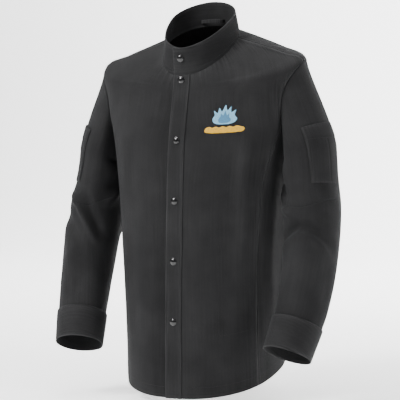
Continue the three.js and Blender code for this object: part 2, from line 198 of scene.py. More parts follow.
def together(*values):
    return np.broadcast_arrays(*(np.asarray(value, float) for value in values))


def cubic(before, here, after, beyond, part):
    """A smooth curve from here to after, which knows the points before and beyond them."""
    leave, arrive = (after - before) / 2, (beyond - here) / 2
    bend = (2 * here - 2 * after + leave + arrive) * part**3
    return bend + (3 * after - 3 * here - 2 * leave - arrive) * part**2 + leave * part + here


def through(values, share):
    """A smooth curve through evenly spaced values, at shares from 0 to 1."""
    values = np.asarray(values, float)
    last = len(values) - 1
    place = np.clip(share, 0, 1) * last
    step = np.minimum(place.astype(int), last - 1)
    part = place - step
    if values.ndim > 1:
        part = part[..., None]
    spots = (np.maximum(step - 1, 0), step, step + 1, np.minimum(step + 2, last))
    return cubic(*(values[spot] for spot in spots), part)


# half width, y of the front, the back and the widest point, heights there, squareness
RINGS = np.array(
    [
        [165, -148, 158, 5, 41, 0, 83, 2.25],
        [166, -143, 157, 7, 165, 130, 200, 2.35],
        [171, -137, 156, 10, 290, 262, 318, 2.45],
        [179, -129, 155, 13, 412, 392, 434, 2.55],
        [194, -117, 152, 14, 525, 505, 545, 2.55],
        [216, -101, 143, 12, 615, 583, 634, 2.35],
        [230, -90, 124, 9, 682, 629, 702, 2.1],
        [189, -88, 108, 11, 699, 639, 729, 2.05],
        [134, -87, 89, 13, 717, 648, 750, 2],
        [81, -86.5, 68, 15, 733, 656, 765, 1.95],
    ]
)
COLLAR_TOP = np.array([72, -93, 67, 14, 780, 712, 813, 1.9])
SHOULDER = 6 / 9


def ease(share):
    share = np.clip(share, 0, 1)
    return share * share * (3 - 2 * share)


def mix(a, b, share):
    return a + (b - a) * share


def ring_point(ring, angle):
    """A point on a squared-off oval whose front and back hang lower or higher than its sides."""
    half, front, back, ridge, side, low, high, power = np.moveaxis(ring, -1, 0)
    toward_front = np.sin(angle) < 0
    depth = np.where(toward_front, ridge - front, back - ridge)
    across = (np.abs(np.cos(angle)) / half) ** power
    along = (np.abs(np.sin(angle)) / depth) ** power
    reach = (across + along) ** (-1 / power)
    share = reach * np.abs(np.sin(angle)) / depth
    height = mix(side, np.where(toward_front, low, high), share)
    return np.stack([reach * np.cos(angle), ridge + reach * np.sin(angle), height], -1)


def settled_rings(samples=901, calm=0.03):
    """The rings at even heights, with the crest over the collarbones rounded as cloth rounds it."""
    shares = np.linspace(0, 1, samples)
    rings = through(RINGS, shares)
    soft = np.zeros_like(rings)
    weights = np.exp(-np.linspace(-2, 2, 21) ** 2)
    reach = calm * ease((shares - 0.4) / 0.15) * ease((1 - shares) / 0.12)
    for step, weight in zip(np.linspace(-1, 1, 21), weights / weights.sum()):
        moved = shares + step * reach
        for k in range(rings.shape[1]):
            soft[:, k] += weight * np.interp(moved, shares, rings[:, k])
    return shares, soft


HEIGHTS, SETTLED = settled_rings()


def body_face(angle, height):
    """The shell's outer face: angle runs round from the wearer's left, height from hem to neck."""
    angle, height = together(angle, height)
    ring = np.stack([np.interp(height, HEIGHTS, SETTLED[:, k]) for k in range(8)], -1)
    return ring_point(ring, angle)


def collar_face(angle, height):
    angle, height = together(angle, height)
    low = ring_point(np.broadcast_to(RINGS[-1], angle.shape + (8,)), angle)
    high = ring_point(np.broadcast_to(COLLAR_TOP, angle.shape + (8,)), angle)
    return mix(low, high, height[..., None])


# %% [markdown]
# A sheet needs to know which way is out, so that its folds and its thickness go along the cloth's
# normal. Two small steps over the face give two directions that lie in it, and their cross
# product is the normal. This is the same rule as the frame was drawn by, so the two stay together.


# %% Outward normals
def unit(vectors):
    return vectors / np.linalg.norm(vectors, axis=-1, keepdims=True)


def normal_of(face, angle, height, step=1e-3):
    low = np.clip(height - step, 0, 1 - 2 * step)
    along_angle = face(angle + step, height) - face(angle - step, height)
    along_height = face(angle, low + 2 * step) - face(angle, low)
    return unit(np.cross(along_angle, along_height))


def lifted(face, angle, height, rise):
    angle, height = together(angle, height)
    rise = np.broadcast_to(rise, angle.shape)
    return face(angle, height) + normal_of(face, angle, height) * rise[..., None]


def crossing(face, x, height, start=-math.pi):
    """The angle at which a face passes a chosen x: along its front from -pi, its back from pi."""
    x, height = together(x, height)
    low, high = np.full(x.shape, float(start)), np.zeros(x.shape)
    for _ in range(40):
        middle = (low + high) / 2
        short = face(middle, height)[..., 0] < x
        low, high = np.where(short, middle, low), np.where(short, high, middle)
    return (low + high) / 2


def height_at(z):
    """The height share at which the front's centre line is z millimetres above the hem."""
    shares = np.linspace(0, 1, 2001)
    return np.interp(z, body_face(-math.pi / 2, shares)[:, 2], shares)


# %% [markdown]
# The panels meet at an armhole, two side seams and a shoulder seam on each side. Each edge is an
# angle for every height, so that two neighbours share one edge exactly and no gap shows.

# %% Seam lines of the panels
ARMHOLE_LOW = 0.425
ARMHOLE_MIDDLE = (SHOULDER + ARMHOLE_LOW) / 2
ARMHOLE_REACH = (SHOULDER - ARMHOLE_LOW) / 2
FRONT_WIDE, BACK_WIDE = math.radians(14.5), math.radians(17)
SEAM_TURN = math.radians(120)
SEAM_TOP = ARMHOLE_MIDDLE + ARMHOLE_REACH * math.cos(SEAM_TURN)


def armhole_angle(height, widest):
    share = (height - ARMHOLE_MIDDLE) / ARMHOLE_REACH
    return widest * np.sqrt(np.maximum(0, 1 - share * share))


def seam_angle(height, widest):
    top = math.degrees(armhole_angle(np.array(SEAM_TOP), widest))
    degrees = through(np.array([24, 26, 26.5, 24, top]), np.minimum(1, height / SEAM_TOP))
    return np.radians(degrees)


def panel_edge(height, widest):
    armhole = np.where(height < SHOULDER, armhole_angle(height, widest), 0)
    return np.where(height <= SEAM_TOP, seam_angle(height, widest), armhole)


# %% [markdown]
# Real cloth never hangs as smoothly as a formula. The torso gets a few long soft folds that fall
# from the chest and the shoulders, small puckers where the snaps pull on the lap, and a slow
# unevenness. All of them are a lift along the normal, read from the place in space, so that two
# panels on either side of a seam get the same lift and stay joined.


# %% Folds of the torso
def ripple(points, seed, size, slant=0.0):
    """A slow unevenness between -1 and 1: a few waves in different directions."""
    order = np.random.default_rng(seed)
    total = np.zeros(points.shape[:-1])
    for _ in range(7):
        direction = order.normal(size=3)
        direction[2] = direction[2] * 0.45 + slant
        wave = 2 * math.pi / (size * order.uniform(0.7, 1.6))
        total += np.sin(points @ unit(direction) * wave + order.uniform(0, 6.28))
    return total / 3.2


def ridge(offset, path, width, depth, fading, scale=(1.0, 1.0)):
    """A soft ridge (or valley, below zero) along a path that fades out at both its ends.

    offset gives the points as seen from a corner of the path, and scale its units' millimetres.
    """
    path, scale = np.asarray(path, float), np.array(scale)
    legs = np.diff(path, axis=0) * scale
    lengths = np.linalg.norm(legs, axis=1)
    nearest, run, done = 1e9, 0.0, 0.0
    for corner, leg, length in zip(path, legs, lengths):
        q = offset(corner) * scale
        t = np.clip((q @ leg) / length**2, 0, 1)
        gap = np.linalg.norm(q - t[..., None] * leg, axis=-1)
        closer = gap < nearest
        nearest = np.where(closer, gap, nearest)
        run = np.where(closer, (done + t * length) / lengths.sum(), run)
        done += length
    fade = ease(run / fading) * ease((1 - run) / fading)
    return depth * np.exp(-((nearest / width) ** 2)) * fade


def body_fold(points, plane, path, width, depth):
    return ridge(lambda corner: points[..., plane] - corner, path, width, depth, 0.3)


# each fold: the path as (x, z), its width and its height, in millimetres
FRONT_FOLDS = [
    ([(62, 610), (70, 430), (58, 250), (66, 60)], 26, 2.6),
    ([(112, 560), (106, 420), (112, 260), (98, 20)], 20, -2.4),
    ([(-70, 620), (-58, 430), (-66, 240), (-60, 40)], 28, 2.4),
    ([(-112, 540), (-116, 380), (-104, 190), (-112, 60)], 22, -2.2),
    ([(150, 560), (141, 460), (140, 350), (132, 230)], 11, 4.6),
    ([(126, 540), (119, 430), (120, 300)], 12, -2.2),
    ([(-150, 560), (-132, 480), (-128, 400)], 17, 3.0),
    ([(34, 500), (30, 380), (36, 250)], 16, -1.2),
    ([(-30, 330), (-34, 190), (-28, 60)], 15, 1.1),
]
BACK_FOLDS = [
    ([(-60, 640), (-84, 430), (-70, 130)], 30, 3.0),
    ([(66, 650), (78, 420), (92, 140)], 32, 3.2),
    ([(0, 640), (6, 420), (-6, 130)], 28, -2.6),
    ([(-128, 560), (-118, 380), (-130, 160)], 24, -2.6),
    ([(132, 560), (122, 390), (134, 170)], 24, -2.4),
    ([(-20, 560), (-34, 400), (-28, 190)], 16, 1.8),
]
SIDE_FOLDS = [
    ([(-18, 430), (-30, 300), (-12, 110)], 16, 2.2),
    ([(26, 420), (36, 280), (22, 120)], 18, 2.0),
]
TOP_SNAP, SNAP_PITCH = 647, 122.8
SNAP_HEIGHTS = [TOP_SNAP - SNAP_PITCH * i for i in range(5)]


def torso_drape(points):
    """How far the torso's cloth stands off its plain shape, in millimetres."""
    x, y, z = np.moveaxis(points, -1, 0)
    front, back = ease((8 - y) / 60), ease((y - 12) / 60)
    side = ease((np.abs(x) - 118) / 40)
    lift = sum(front * body_fold(points, [0, 2], *fold) for fold in FRONT_FOLDS)
    lift = lift + sum(back * body_fold(points, [0, 2], *fold) for fold in BACK_FOLDS)
    lift = lift + sum(side * body_fold(points, [1, 2], *fold) for fold in SIDE_FOLDS)
    calm = ease((648 - z) / 120)
    lift = lift + 0.8 * ripple(points, 3, 190) * calm + 0.35 * ripple(points, 5, 62) * calm
    for snap_z in SNAP_HEIGHTS[1:]:
        near = np.exp(-((np.hypot(x / 1.7, z - snap_z) / 24) ** 2))
        lift = lift + front * 0.55 * np.sin((z - snap_z) / 8.5 + x / 26) * near
    return lift * ease((z + 6) / 30)


def on_body(angle, height, rise=0.0, mirror=False):
    """Points on the torso's hanging cloth, and the way out there."""
    angle, height = together(angle, height)
    base, out = body_face(angle, height), normal_of(body_face, angle, height)
    lift = rise + torso_drape(mirrored(base, mirror))
    return mirrored(base + out * lift[..., None], mirror), mirrored(out, mirror)


# %% [markdown]
# Every cloth piece is one grid from `create_grid` whose points are moved onto a face. The grid's
# own texture coordinates are then set to metres along the cloth, so that the weave has one size
# on all the pieces and bends with them. Solidify gives the cloth its thickness. An attribute
# called `wear` is high near a piece's edges, where heavy cloth rubs pale.

# %% A sheet of cloth
CLOTH_MM = 1.1
made = {}


def paint_lengths(mesh, columns, rows, turned):
    """Texture coordinates in metres along the cloth."""
    co = np.zeros(len(mesh.vertices) * 3)
    mesh.vertices.foreach_get("co", co)
    grid = co.reshape(rows + 1, columns + 1, 3)
    across = np.linalg.norm(np.diff(grid, axis=1), axis=-1)
    up = np.linalg.norm(np.diff(grid, axis=0), axis=-1)
    u = np.concatenate([np.zeros((rows + 1, 1)), np.cumsum(across, 1)], 1)
    u = u - u[:, columns // 2][:, None]
    v = np.concatenate([np.zeros((1, columns + 1)), np.cumsum(up, 0)], 0)
    v = v + (grid[0, :, 2] - grid[0, :, 2].mean())[None, :] * 0.5
    pair = np.stack([v, u] if turned else [u, v], -1).reshape(-1, 2)
    corner = np.zeros(len(mesh.loops), int)
    mesh.loops.foreach_get("vertex_index", corner)
    layer = mesh.uv_layers.get("cloth") or mesh.uv_layers.new(name="cloth")
    layer.data.foreach_set("uv", pair[corner].astype(np.float32).ravel())
    return u, v


def turned_round(share, mirror):
    """Columns run the other way on the wearer's right, so that faces still point outwards."""
    return 1 - share if mirror else share


def new_piece(name, bm):
    mesh = bpy.data.meshes.new(name)
    bm.to_mesh(mesh)
    bm.free()
    for polygon in mesh.polygons:
        polygon.use_smooth = True
    piece = bpy.data.objects.new(name, mesh)
    bpy.context.scene.collection.objects.link(piece)
    return piece


def dress(piece, material):
    piece.data.materials.clear()
    piece.data.materials.append(material)


def grid_piece(
    name, columns, rows, place, cloth=CLOTH_MM, closed=False, soft=0, turned=False, worn=0.012
):
    """A grid of cells, each point moved to where place puts its shares across and up."""
    bm = bmesh.new()
    bmesh.ops.create_grid(bm, x_segments=columns, y_segments=rows, size=1)
    flat = np.array([v.co for v in bm.verts])
    i = np.rint((flat[:, 0] + 1) / 2 * columns).astype(int)
    j = np.rint((flat[:, 1] + 1) / 2 * rows).astype(int)
    shares = np.meshgrid(np.linspace(0, 1, columns + 1), np.linspace(0, 1, rows + 1))
    placed = to_frame(place(*shares)).reshape(rows + 1, columns + 1, 3)
    order = np.lexsort((i, j))
    if not np.array_equal(order, np.arange(len(order))):
        raise ValueError("the grid's points come in another order")
    for vertex, at in zip(bm.verts, placed.reshape(-1, 3)):
        vertex.co = at
    piece = new_piece(name, bm)
    mesh = piece.data
    u, v = paint_lengths(mesh, columns, rows, turned)
    edge_u = np.full(u.shape, 1.0) if closed else np.minimum(u - u[:, :1], u[:, -1:] - u)
    edge_v = np.minimum(v - v[:1], v[-1:] - v)
    near = np.exp(-np.minimum(edge_u, edge_v) / worn) if worn else np.zeros_like(u)
    mesh.attributes.new("wear", "FLOAT", "POINT").data.foreach_set(
        "value", near.ravel().astype(np.float32)
    )
    if closed:
        bm = bmesh.new()
        bm.from_mesh(mesh)
        bmesh.ops.remove_doubles(bm, verts=bm.verts, dist=2e-5)
        bm.to_mesh(mesh)
        bm.free()
    wall = piece.modifiers.new("cloth", "SOLIDIFY")
    wall.thickness = cloth / 1000
    wall.offset = -1
    wall.use_even_offset = False
    wall.use_rim = True
    if soft:
        round_edges = piece.modifiers.new("edges", "SUBSURF")
        round_edges.levels = soft
        round_edges.render_levels = soft
    dress(piece, CHARCOAL)
    made[name] = piece
    print(name, columns, "x", rows, "cells")
    return piece


# %% [markdown]
# The cloth itself is a charcoal cotton twill, treated against flame. Up close its diagonal ribs
# are under a millimetre apart; from a few steps away one sees fine vertical streaks where the
# yarns vary, a slow mottling, and paler rubbed edges. The ribs and the yarns are wave and noise
# textures on the cloth's own coordinates, and they drive colour, roughness and bump together.


# %% The twill
RIBS_PER_M = 300
RIB_TURN = math.radians(28)


def grey(level):
    return (level, level, level)


def new_material(name, **sockets):
    material = bpy.data.materials.new(name)
    material.use_nodes = True
    nodes, links = material.node_tree.nodes, material.node_tree.links
    shader = nodes["Principled BSDF"]
    for socket, value in sockets.items():
        shader.inputs[socket.replace("_", " ")].default_value = value
    return material, nodes, links, shader


def node(nodes, kind, settings=None, **inputs):
    made_node = nodes.new(kind)
    for key, value in (settings or {}).items():
        setattr(made_node, key, value)
    for key, value in inputs.items():
        made_node.inputs[key.replace("_", " ")].default_value = value
    return made_node


def cloth_coordinates(nodes, links, scale, turn=0.0):
    lengths = node(nodes, "ShaderNodeUVMap", {"uv_map": "cloth"})
    placing = node(nodes, "ShaderNodeMapping", Scale=scale, Rotation=(0, 0, turn))
    links.new(lengths.outputs["UV"], placing.inputs["Vector"])
    return placing.outputs["Vector"]


def grain(nodes, links, scale, detail, roughness=0.5):
    """Noise fixed to the piece, in its own metres."""
    place = node(nodes, "ShaderNodeTexCoord")
    noise = node(nodes, "ShaderNodeTexNoise", Scale=scale, Detail=detail, Roughness=roughness)
    links.new(place.outputs["Object"], noise.inputs["Vector"])
    return noise.outputs["Fac"]


def yarn_noise(nodes, links, scale, detail, roughness=0.5):
    """Noise that runs with the cloth, drawn out along it by its scale."""
    noise = node(nodes, "ShaderNodeTexNoise", Scale=1.0, Detail=detail, Roughness=roughness)
    links.new(cloth_coordinates(nodes, links, scale), noise.inputs["Vector"])
    return noise.outputs["Fac"]


def yarn_bands(nodes, links, count, turn, distortion, detail):
    """Parallel bands on the cloth, count to the metre and turned by an angle."""
    bands = node(nodes, "ShaderNodeTexWave", {"wave_type": "BANDS", "bands_direction": "X"})
    for socket, value in (("Scale", 1.0), ("Distortion", distortion), ("Detail", detail)):
        bands.inputs[socket].default_value = value
    links.new(cloth_coordinates(nodes, links, (count, count, 1), turn), bands.inputs["Vector"])
    return bands.outputs["Fac"]


def ramp(nodes, links, value, stops):
    made_ramp = nodes.new("ShaderNodeValToRGB")
    bar = made_ramp.color_ramp.elements
    while len(bar) < len(stops):
        bar.new(0.5)
    for element, (place, colour) in zip(bar, stops):
        element.position = place
        element.color = (*colour, 1) if len(colour) == 3 else colour
    links.new(value, made_ramp.inputs["Fac"])
    return made_ramp.outputs["Color"]


def blend_colours(nodes, links, kind, amount, first, second):
    mixer = node(nodes, "ShaderNodeMix", {"data_type": "RGBA", "blend_type": kind})
    if isinstance(amount, (int, float)):
        mixer.inputs[0].default_value = amount
    else:
        links.new(amount, mixer.inputs[0])
    for value, socket in ((first, mixer.inputs[6]), (second, mixer.inputs[7])):
        if isinstance(value, tuple):
            socket.default_value = (*value, 1)
        else:
            links.new(value, socket)
    return mixer.outputs[2]


def finish(nodes, links, shader, gloss, bump, strength, distance):
    """Roughness from a ramp of (value, stops), and a bump from a height."""
    links.new(ramp(nodes, links, *gloss), shader.inputs["Roughness"])
    relief = node(nodes, "ShaderNodeBump", Strength=strength, Distance=distance)
    links.new(bump, relief.inputs["Height"])
    links.new(relief.outputs["Normal"], shader.inputs["Normal"])


def arithmetic(nodes, links, kind, first, second):
    maker = node(nodes, "ShaderNodeMath", {"operation": kind})
    for value, socket in ((first, maker.inputs[0]), (second, maker.inputs[1])):
        if isinstance(value, (int, float)):
            socket.default_value = value
        else:
            links.new(value, socket)
    return maker.outputs[0]


def twill(name, dark, light, rubbed):
    material, nodes, links, shader = new_material(
        name, Sheen_Weight=0.03, Sheen_Roughness=0.5, Specular_IOR_Level=0.12
    )
    shader.inputs["Sheen Tint"].default_value = (0.7, 0.72, 0.75, 1)
    ribs = yarn_bands(nodes, links, RIBS_PER_M, RIB_TURN, 0.6, 1.0)
    yarns = yarn_noise(nodes, links, (1500, 140, 1), 2.0, 0.6)
    streaks = yarn_noise(nodes, links, (260, 9, 1), 3.0, 0.55)
    mottle = grain(nodes, links, 11.0, 4.0, 0.55)

    base = ramp(nodes, links, mottle, [(0.3, dark), (0.72, light)])
    for value, low, high in (
        (streaks, (0.3, 0.82), (0.7, 1.15)),
        (ribs, (0.0, 0.72), (1.0, 1.12)),
        (yarns, (0.32, 0.84), (0.7, 1.14)),
    ):
        tone = ramp(nodes, links, value, [(place, grey(level)) for place, level in (low, high)])
        base = blend_colours(nodes, links, "MULTIPLY", 0.8, base, tone)
    worn = node(nodes, "ShaderNodeAttribute", {"attribute_name": "wear"})
    patchy = ramp(nodes, links, streaks, [(0.35, grey(0.0)), (0.65, grey(0.55))])
    rub = arithmetic(nodes, links, "MULTIPLY", worn.outputs["Fac"], patchy)
    base = blend_colours(nodes, links, "MIX", rub, base, rubbed)
    links.new(base, shader.inputs["Base Color"])

    relief = arithmetic(nodes, links, "MULTIPLY", ribs, 0.6)
    relief = arithmetic(nodes, links, "ADD", relief, yarns)
    relief = arithmetic(nodes, links, "ADD", relief, streaks)
    fuzz = grain(nodes, links, 900.0, 2.0)
    gloss = (fuzz, [(0.3, grey(0.74)), (0.7, grey(0.92))])
    finish(nodes, links, shader, gloss, relief, 0.55, 0.00035)
    return material


DARK, LIGHT, RUBBED = (0.0098, 0.0098, 0.0103), (0.0188, 0.0188, 0.0194), (0.045, 0.045, 0.046)
CHARCOAL = twill("charcoal_twill", DARK, LIGHT, RUBBED)
print("cloth", CHARCOAL.name, len(CHARCOAL.node_tree.nodes), "nodes")

# %% [markdown]
# A hem is the cloth turned up inside and stitched. The rows of a body panel therefore start inside,
# 20 millimetres up, run down, roll round the edge and only then climb the outside. The roll is a
# half circle, wide enough for the cloth to lie beside itself.

# %% Rows of a body panel, with its hem
ROLL_MM = 1.25
HEM_MM = 20
MM_PER_SHARE = 660
STEP_MM = 3.2


def panel_rows(top=1.0):
    """Heights and lifts of the rows of a panel, from the hem's raw edge inside to the top."""
    inside = np.linspace(HEM_MM, 0, 8)[:-1]
    turn = np.linspace(0, math.pi, 7)
    outside = np.arange(STEP_MM, top * MM_PER_SHARE - 1, STEP_MM)
    heights = np.concatenate(
        [ROLL_MM + inside, ROLL_MM * (1 - np.sin(turn)), ROLL_MM + outside, [top * MM_PER_SHARE]]
    )
    lifts = np.concatenate(
        [np.full(7, -2 * ROLL_MM), -ROLL_MM * (1 + np.cos(turn)), np.zeros(len(outside) + 1)]
    )
    return heights / MM_PER_SHARE, lifts


PANEL_ROWS = len(panel_rows()[0]) - 1


def panel_row(v, top=1.0):
    """A row's height and lift, and whether it lies on the outside of the panel."""
    heights, lifts = panel_rows(top)
    index = np.rint(v * (len(heights) - 1)).astype(int)
    return heights[index], lifts[index], lifts[index] > -0.1


# %% [markdown]
# Where two panels are sewn, the cloth is folded over and stitched down, so one sees a narrow
# welt with a small step at its edge. `welt` lifts the cloth a little beside a seam and lets it
# dip at the seam itself.


# %% The welt beside a seam
WELT_LIFT = 0.55


def welt(distance_mm, width=9.0, lift=WELT_LIFT, dip=0.3):
    """A raised strip beside a seam, with a dip on the seam line; distance is never negative."""
    strip = lift * ease((width - distance_mm) / 1.6)
    return strip - (lift + dip) * np.exp(-((distance_mm / 1.3) ** 2))


def arc_mm(face, angle, edge, height):
    """Roughly how far along the face an angle is from its seam."""
    here = face(angle, height)
    return np.linalg.norm(here - face(edge, height), axis=-1)


# %% [markdown]
# The two fronts are the same panel. The right one is mirrored and its edge dives under the left
# one's lap, as far as the snaps are tall. A front runs from the lap's edge to the side seam, the
# armhole and the shoulder seam, which together are one edge that depends on the height.

# %% The fronts
PLACKET_HALF = 18
LAP_RAMP = 32
LAP_DROP = 4.4


def front_panel(name, mirror):
    def place(u, v):
        height, rise, outside = panel_row(v)
        centre = crossing(body_face, -PLACKET_HALF, height[:, 0])[:, None]
        edge = -panel_edge(height, FRONT_WIDE)
        angle = mix(centre, edge, turned_round(u, mirror))
        under = 1 - ease((body_face(angle, height)[..., 0] - PLACKET_HALF - 2) / LAP_RAMP)
        drop = LAP_DROP if mirror else 0
        seam = arc_mm(body_face, angle, edge, height)
        rise = rise - drop * under + np.where(outside, welt(seam), 0)
        return on_body(angle, height, rise, mirror)[0]

    return grid_piece(name, 62, PANEL_ROWS, place)


left_front = front_panel("left_front_cloth", False)
right_front = front_panel("right_front_cloth", True)

# %% [markdown]
# The back is one wide panel. Its rows are the same as the fronts' rows, so the shoulder and side
# seams run side by side.

# %% The back and the sides


def back_cloth():
    def place(u, v):
        height, rise, outside = panel_row(v)
        edge = panel_edge(height, BACK_WIDE)
        angle = mix(edge, math.pi - edge, u)
        seam = np.minimum(
            arc_mm(body_face, angle, edge, height), arc_mm(body_face, angle, math.pi - edge, height)
        )
        return on_body(angle, height, rise + np.where(outside, welt(seam, lift=0.1), 0))[0]

    return grid_piece("back_cloth", 130, PANEL_ROWS, place)


def side_cloth(name, mirror):
    def place(u, v):
        row, rise, outside = panel_row(v, SEAM_TOP)
        turn = mix(SEAM_TURN, 2 * math.pi - SEAM_TURN, turned_round(u, mirror))
        top = ARMHOLE_MIDDLE + ARMHOLE_REACH * np.cos(turn)
        height = row * top / SEAM_TOP
        share = -np.sin(turn) / math.sin(SEAM_TURN)
        edge = np.where(share < 0, seam_angle(row, FRONT_WIDE), seam_angle(row, BACK_WIDE))
        angle = share * edge
        seam = arc_mm(body_face, angle, np.sign(share) * edge, height)
        rise = rise - np.where(outside, 0.3 * np.exp(-((seam / 1.3) ** 2)), 0)
        return on_body(angle, height, rise, mirror)[0]

    return grid_piece(name, 40, len(panel_rows(SEAM_TOP)[0]) - 1, place)


back = back_cloth()
sides = [side_cloth("left_side_cloth", False), side_cloth("right_side_cloth", True)]

# %% [markdown]
# The placket is a second strip of cloth sewn over the left front's edge, and the facing is the same
# strip inside the right front. Their long edges are folded under and stitched, so the strip rolls
# down at its edge and has a shallow groove along each row of stitches.

# %% The placket and the facing
BAND_GAP = 0.55
BAND_MM = 1.2


def band(name, rise_mm, mirror):
    def place(u, v):
        x = mix(-PLACKET_HALF, PLACKET_HALF, turned_round(u, mirror))
        angle = crossing(body_face, x, v)
        roll = 0.35 * np.exp(-((PLACKET_HALF - np.abs(x)) / 1.2) ** 2)
        groove = 0.45 * np.exp(-((PLACKET_HALF - 3.2 - np.abs(x)) / 0.9) ** 2)
        return on_body(angle, v, rise_mm - roll - groove, mirror)[0]

    return grid_piece(name, 29, 199, place, BAND_MM, worn=0.004)


placket = band("placket_cloth", BAND_GAP + BAND_MM, False)
facing = band("facing_cloth", -LAP_DROP - 2 - BAND_GAP, True)

# %% [markdown]
# The stand collar is 48 millimetres tall and stiff, two layers of twill with a stitched edge. It is
# a thick sheet with rounded rims: two halves that lap at the throat and one band behind.

# %% The collar
COLLAR_MM = 3.0
COLLAR_PROUD = 0.5
COLLAR_LAP_DROP = 6.3
COLLAR_FOOT = -4.5 / 48
FOOT_ROW, TOP_ROW = 0.13, 0.87


def collar_rise(share, height):
    """The seam's ridge at the foot, the sewn line along the top, and a slight hollow between."""
    foot = 0.5 * np.exp(-(((height - 0.06) / 0.05) ** 2))
    stitched = -0.35 * np.exp(-(((height - TOP_ROW) / 0.03) ** 2))
    return COLLAR_PROUD + foot + stitched + 0.25 * np.sin(share * 9.0) * np.sin(height * 3.1)


def collar_under(angle, height):
    """How far a collar half has dived under the other: 1 at the throat, 0 beyond the lap."""
    reach = collar_face(angle, height)[..., 0] - PLACKET_HALF - 3
    return 1 - ease(reach / LAP_RAMP)


def collar_front(name, drop, mirror):
    def place(u, v):
        height = mix(COLLAR_FOOT, 1, v)
        start = crossing(collar_face, -PLACKET_HALF - 1, height[:, 0])[:, None]
        angle = mix(start, 0.0, turned_round(u, mirror))
        rise = collar_rise(angle, height) - drop * collar_under(angle, height)
        return mirrored(lifted(collar_face, angle, height, rise), mirror)

    return grid_piece(name, 60, 20, place, COLLAR_MM, soft=1, turned=True, worn=0.005)


def collar_band():
    def place(u, v):
        height = mix(COLLAR_FOOT, 1, v)
        angle = u * math.pi
        return lifted(collar_face, angle, height, collar_rise(angle, height))

    return grid_piece(
        "collar_back_cloth", 90, 20, place, COLLAR_MM, soft=1, turned=True, worn=0.005
    )


left_collar = collar_front("left_collar_cloth", 0, False)
right_collar = collar_front("right_collar_cloth", COLLAR_LAP_DROP, True)
collar_back = collar_band()

# %% [markdown]
# A narrow tape inside the back of the neck hangs the jacket on a peg. It bows forward between its
# two sewn ends.

# %% The hanger loop
LOOP_HALF, LOOP_REACH, LOOP_TAPE_MM, LOOP_SAG = 26, 11, 8, 1.5


def loop_tape():
    def place(u, v):
        turn = u * math.pi
        x = LOOP_HALF * np.cos(turn)
        angle = crossing(collar_face, x, 0.25, math.pi)
        seat = lifted(collar_face, angle, 0.25, COLLAR_PROUD - COLLAR_MM - 0.55)
        y = seat[..., 1] - LOOP_REACH * np.sin(turn)
        sag = LOOP_SAG * np.sin(turn) ** 2
        return np.stack([x, y, seat[..., 2] - LOOP_TAPE_MM * (1 - v) - sag], -1)

    return grid_piece("hanger_loop_tape", 48, 6, place, 1.2, soft=1)


loop = loop_tape()

# %% [markdown]
# A sleeve is a tube round a bent centre line. Its head is pulled onto the armhole and sewn there,
# and further down it is round. The cloth bunches where the elbow bends, so the folds here are
# deeper than on the torso: a ridge over the elbow, a valley above it, and creases that run
# from the armpit.

# %% The sleeves' shape
SLEEVE_AT = np.array(
    [
        [206, 18, 604], [219, 15, 522], [234, 8, 442], [249, -9, 372],
        [257, -33, 290], [254, -70, 190], [240, -117, 97],
    ], float,
)
SLEEVE_OUT = np.array([82, 71, 65, 62, 58, 52, 47], float)
SLEEVE_IN = np.array([60, 36, 46, 54, 56, 52, 47], float)
SLEEVE_FORE = np.array([72, 70, 66, 63, 58, 53, 48], float)
SLEEVE_LINE = np.vstack(
    [2 * SLEEVE_AT[0] - SLEEVE_AT[1], SLEEVE_AT, 2 * SLEEVE_AT[-1] - SLEEVE_AT[-2]]
)
ELBOW = np.array([253.0, -23.0, 325.0])
ELBOW_CUT = 78


def sleeve_centre(along):
    """The centre line, through its points from shoulder to wrist."""
    along = np.clip(along, 0, 1) * (len(SLEEVE_AT) - 1)
    step = np.minimum(along.astype(int), len(SLEEVE_AT) - 2)
    return cubic(*(SLEEVE_LINE[step + k] for k in range(4)), (along - step)[..., None])


def armhole_point(angle, outward):
    widest = np.where(np.sin(angle) > 0, FRONT_WIDE, BACK_WIDE)
    height = ARMHOLE_MIDDLE + ARMHOLE_REACH * np.cos(angle)
    turn = -widest * np.sin(angle)
    point = body_face(turn, height)
    normal = normal_of(body_face, turn, height)
    inward = body_face(0.0, ARMHOLE_MIDDLE) - point
    inward = unit(inward - np.sum(inward * normal, -1, keepdims=True) * normal)
    return point + normal * 0.3 + inward * outward


def sleeve_face(angle, along, rise):
    angle, along, rise = together(angle, along, rise)
    centre = sleeve_centre(along)
    ahead, behind = np.minimum(along + 1e-4, 1), np.maximum(along - 1e-4, 0)
    tangent = unit(sleeve_centre(ahead) - sleeve_centre(behind))
    fore = np.zeros_like(tangent)
    fore[..., 1] = -1
    fore = unit(fore - np.sum(fore * tangent, -1, keepdims=True) * tangent)
    out = np.cross(fore, tangent)
    away = out * np.cos(angle)[..., None] + fore * np.sin(angle)[..., None]
    reach = np.where(np.cos(angle) > 0, through(SLEEVE_OUT, along), through(SLEEVE_IN, along))
    depth = through(SLEEVE_FORE, along)
    aside, forward = reach * np.cos(angle), depth * np.sin(angle)
    round_point = centre + out * aside[..., None] + fore * forward[..., None]
    sewn = armhole_point(angle, 0.5) + centre - SLEEVE_AT[0]
    share = ease(along / mix(0.33, 0.22, (1 + np.cos(angle)) / 2))
    return mix(sewn, round_point, share[..., None]) + away * rise[..., None]


# %% [markdown]
# The sleeve's folds are drawn on an unrolled map: degrees round the sleeve from its outer side
# (90 is the front) against the share of its length. A fold wraps round, so distances
# round the sleeve are taken the short way.


# %% The sleeves' folds
MM_PER_DEGREE = 1.08
CREASE_MM = 560.0


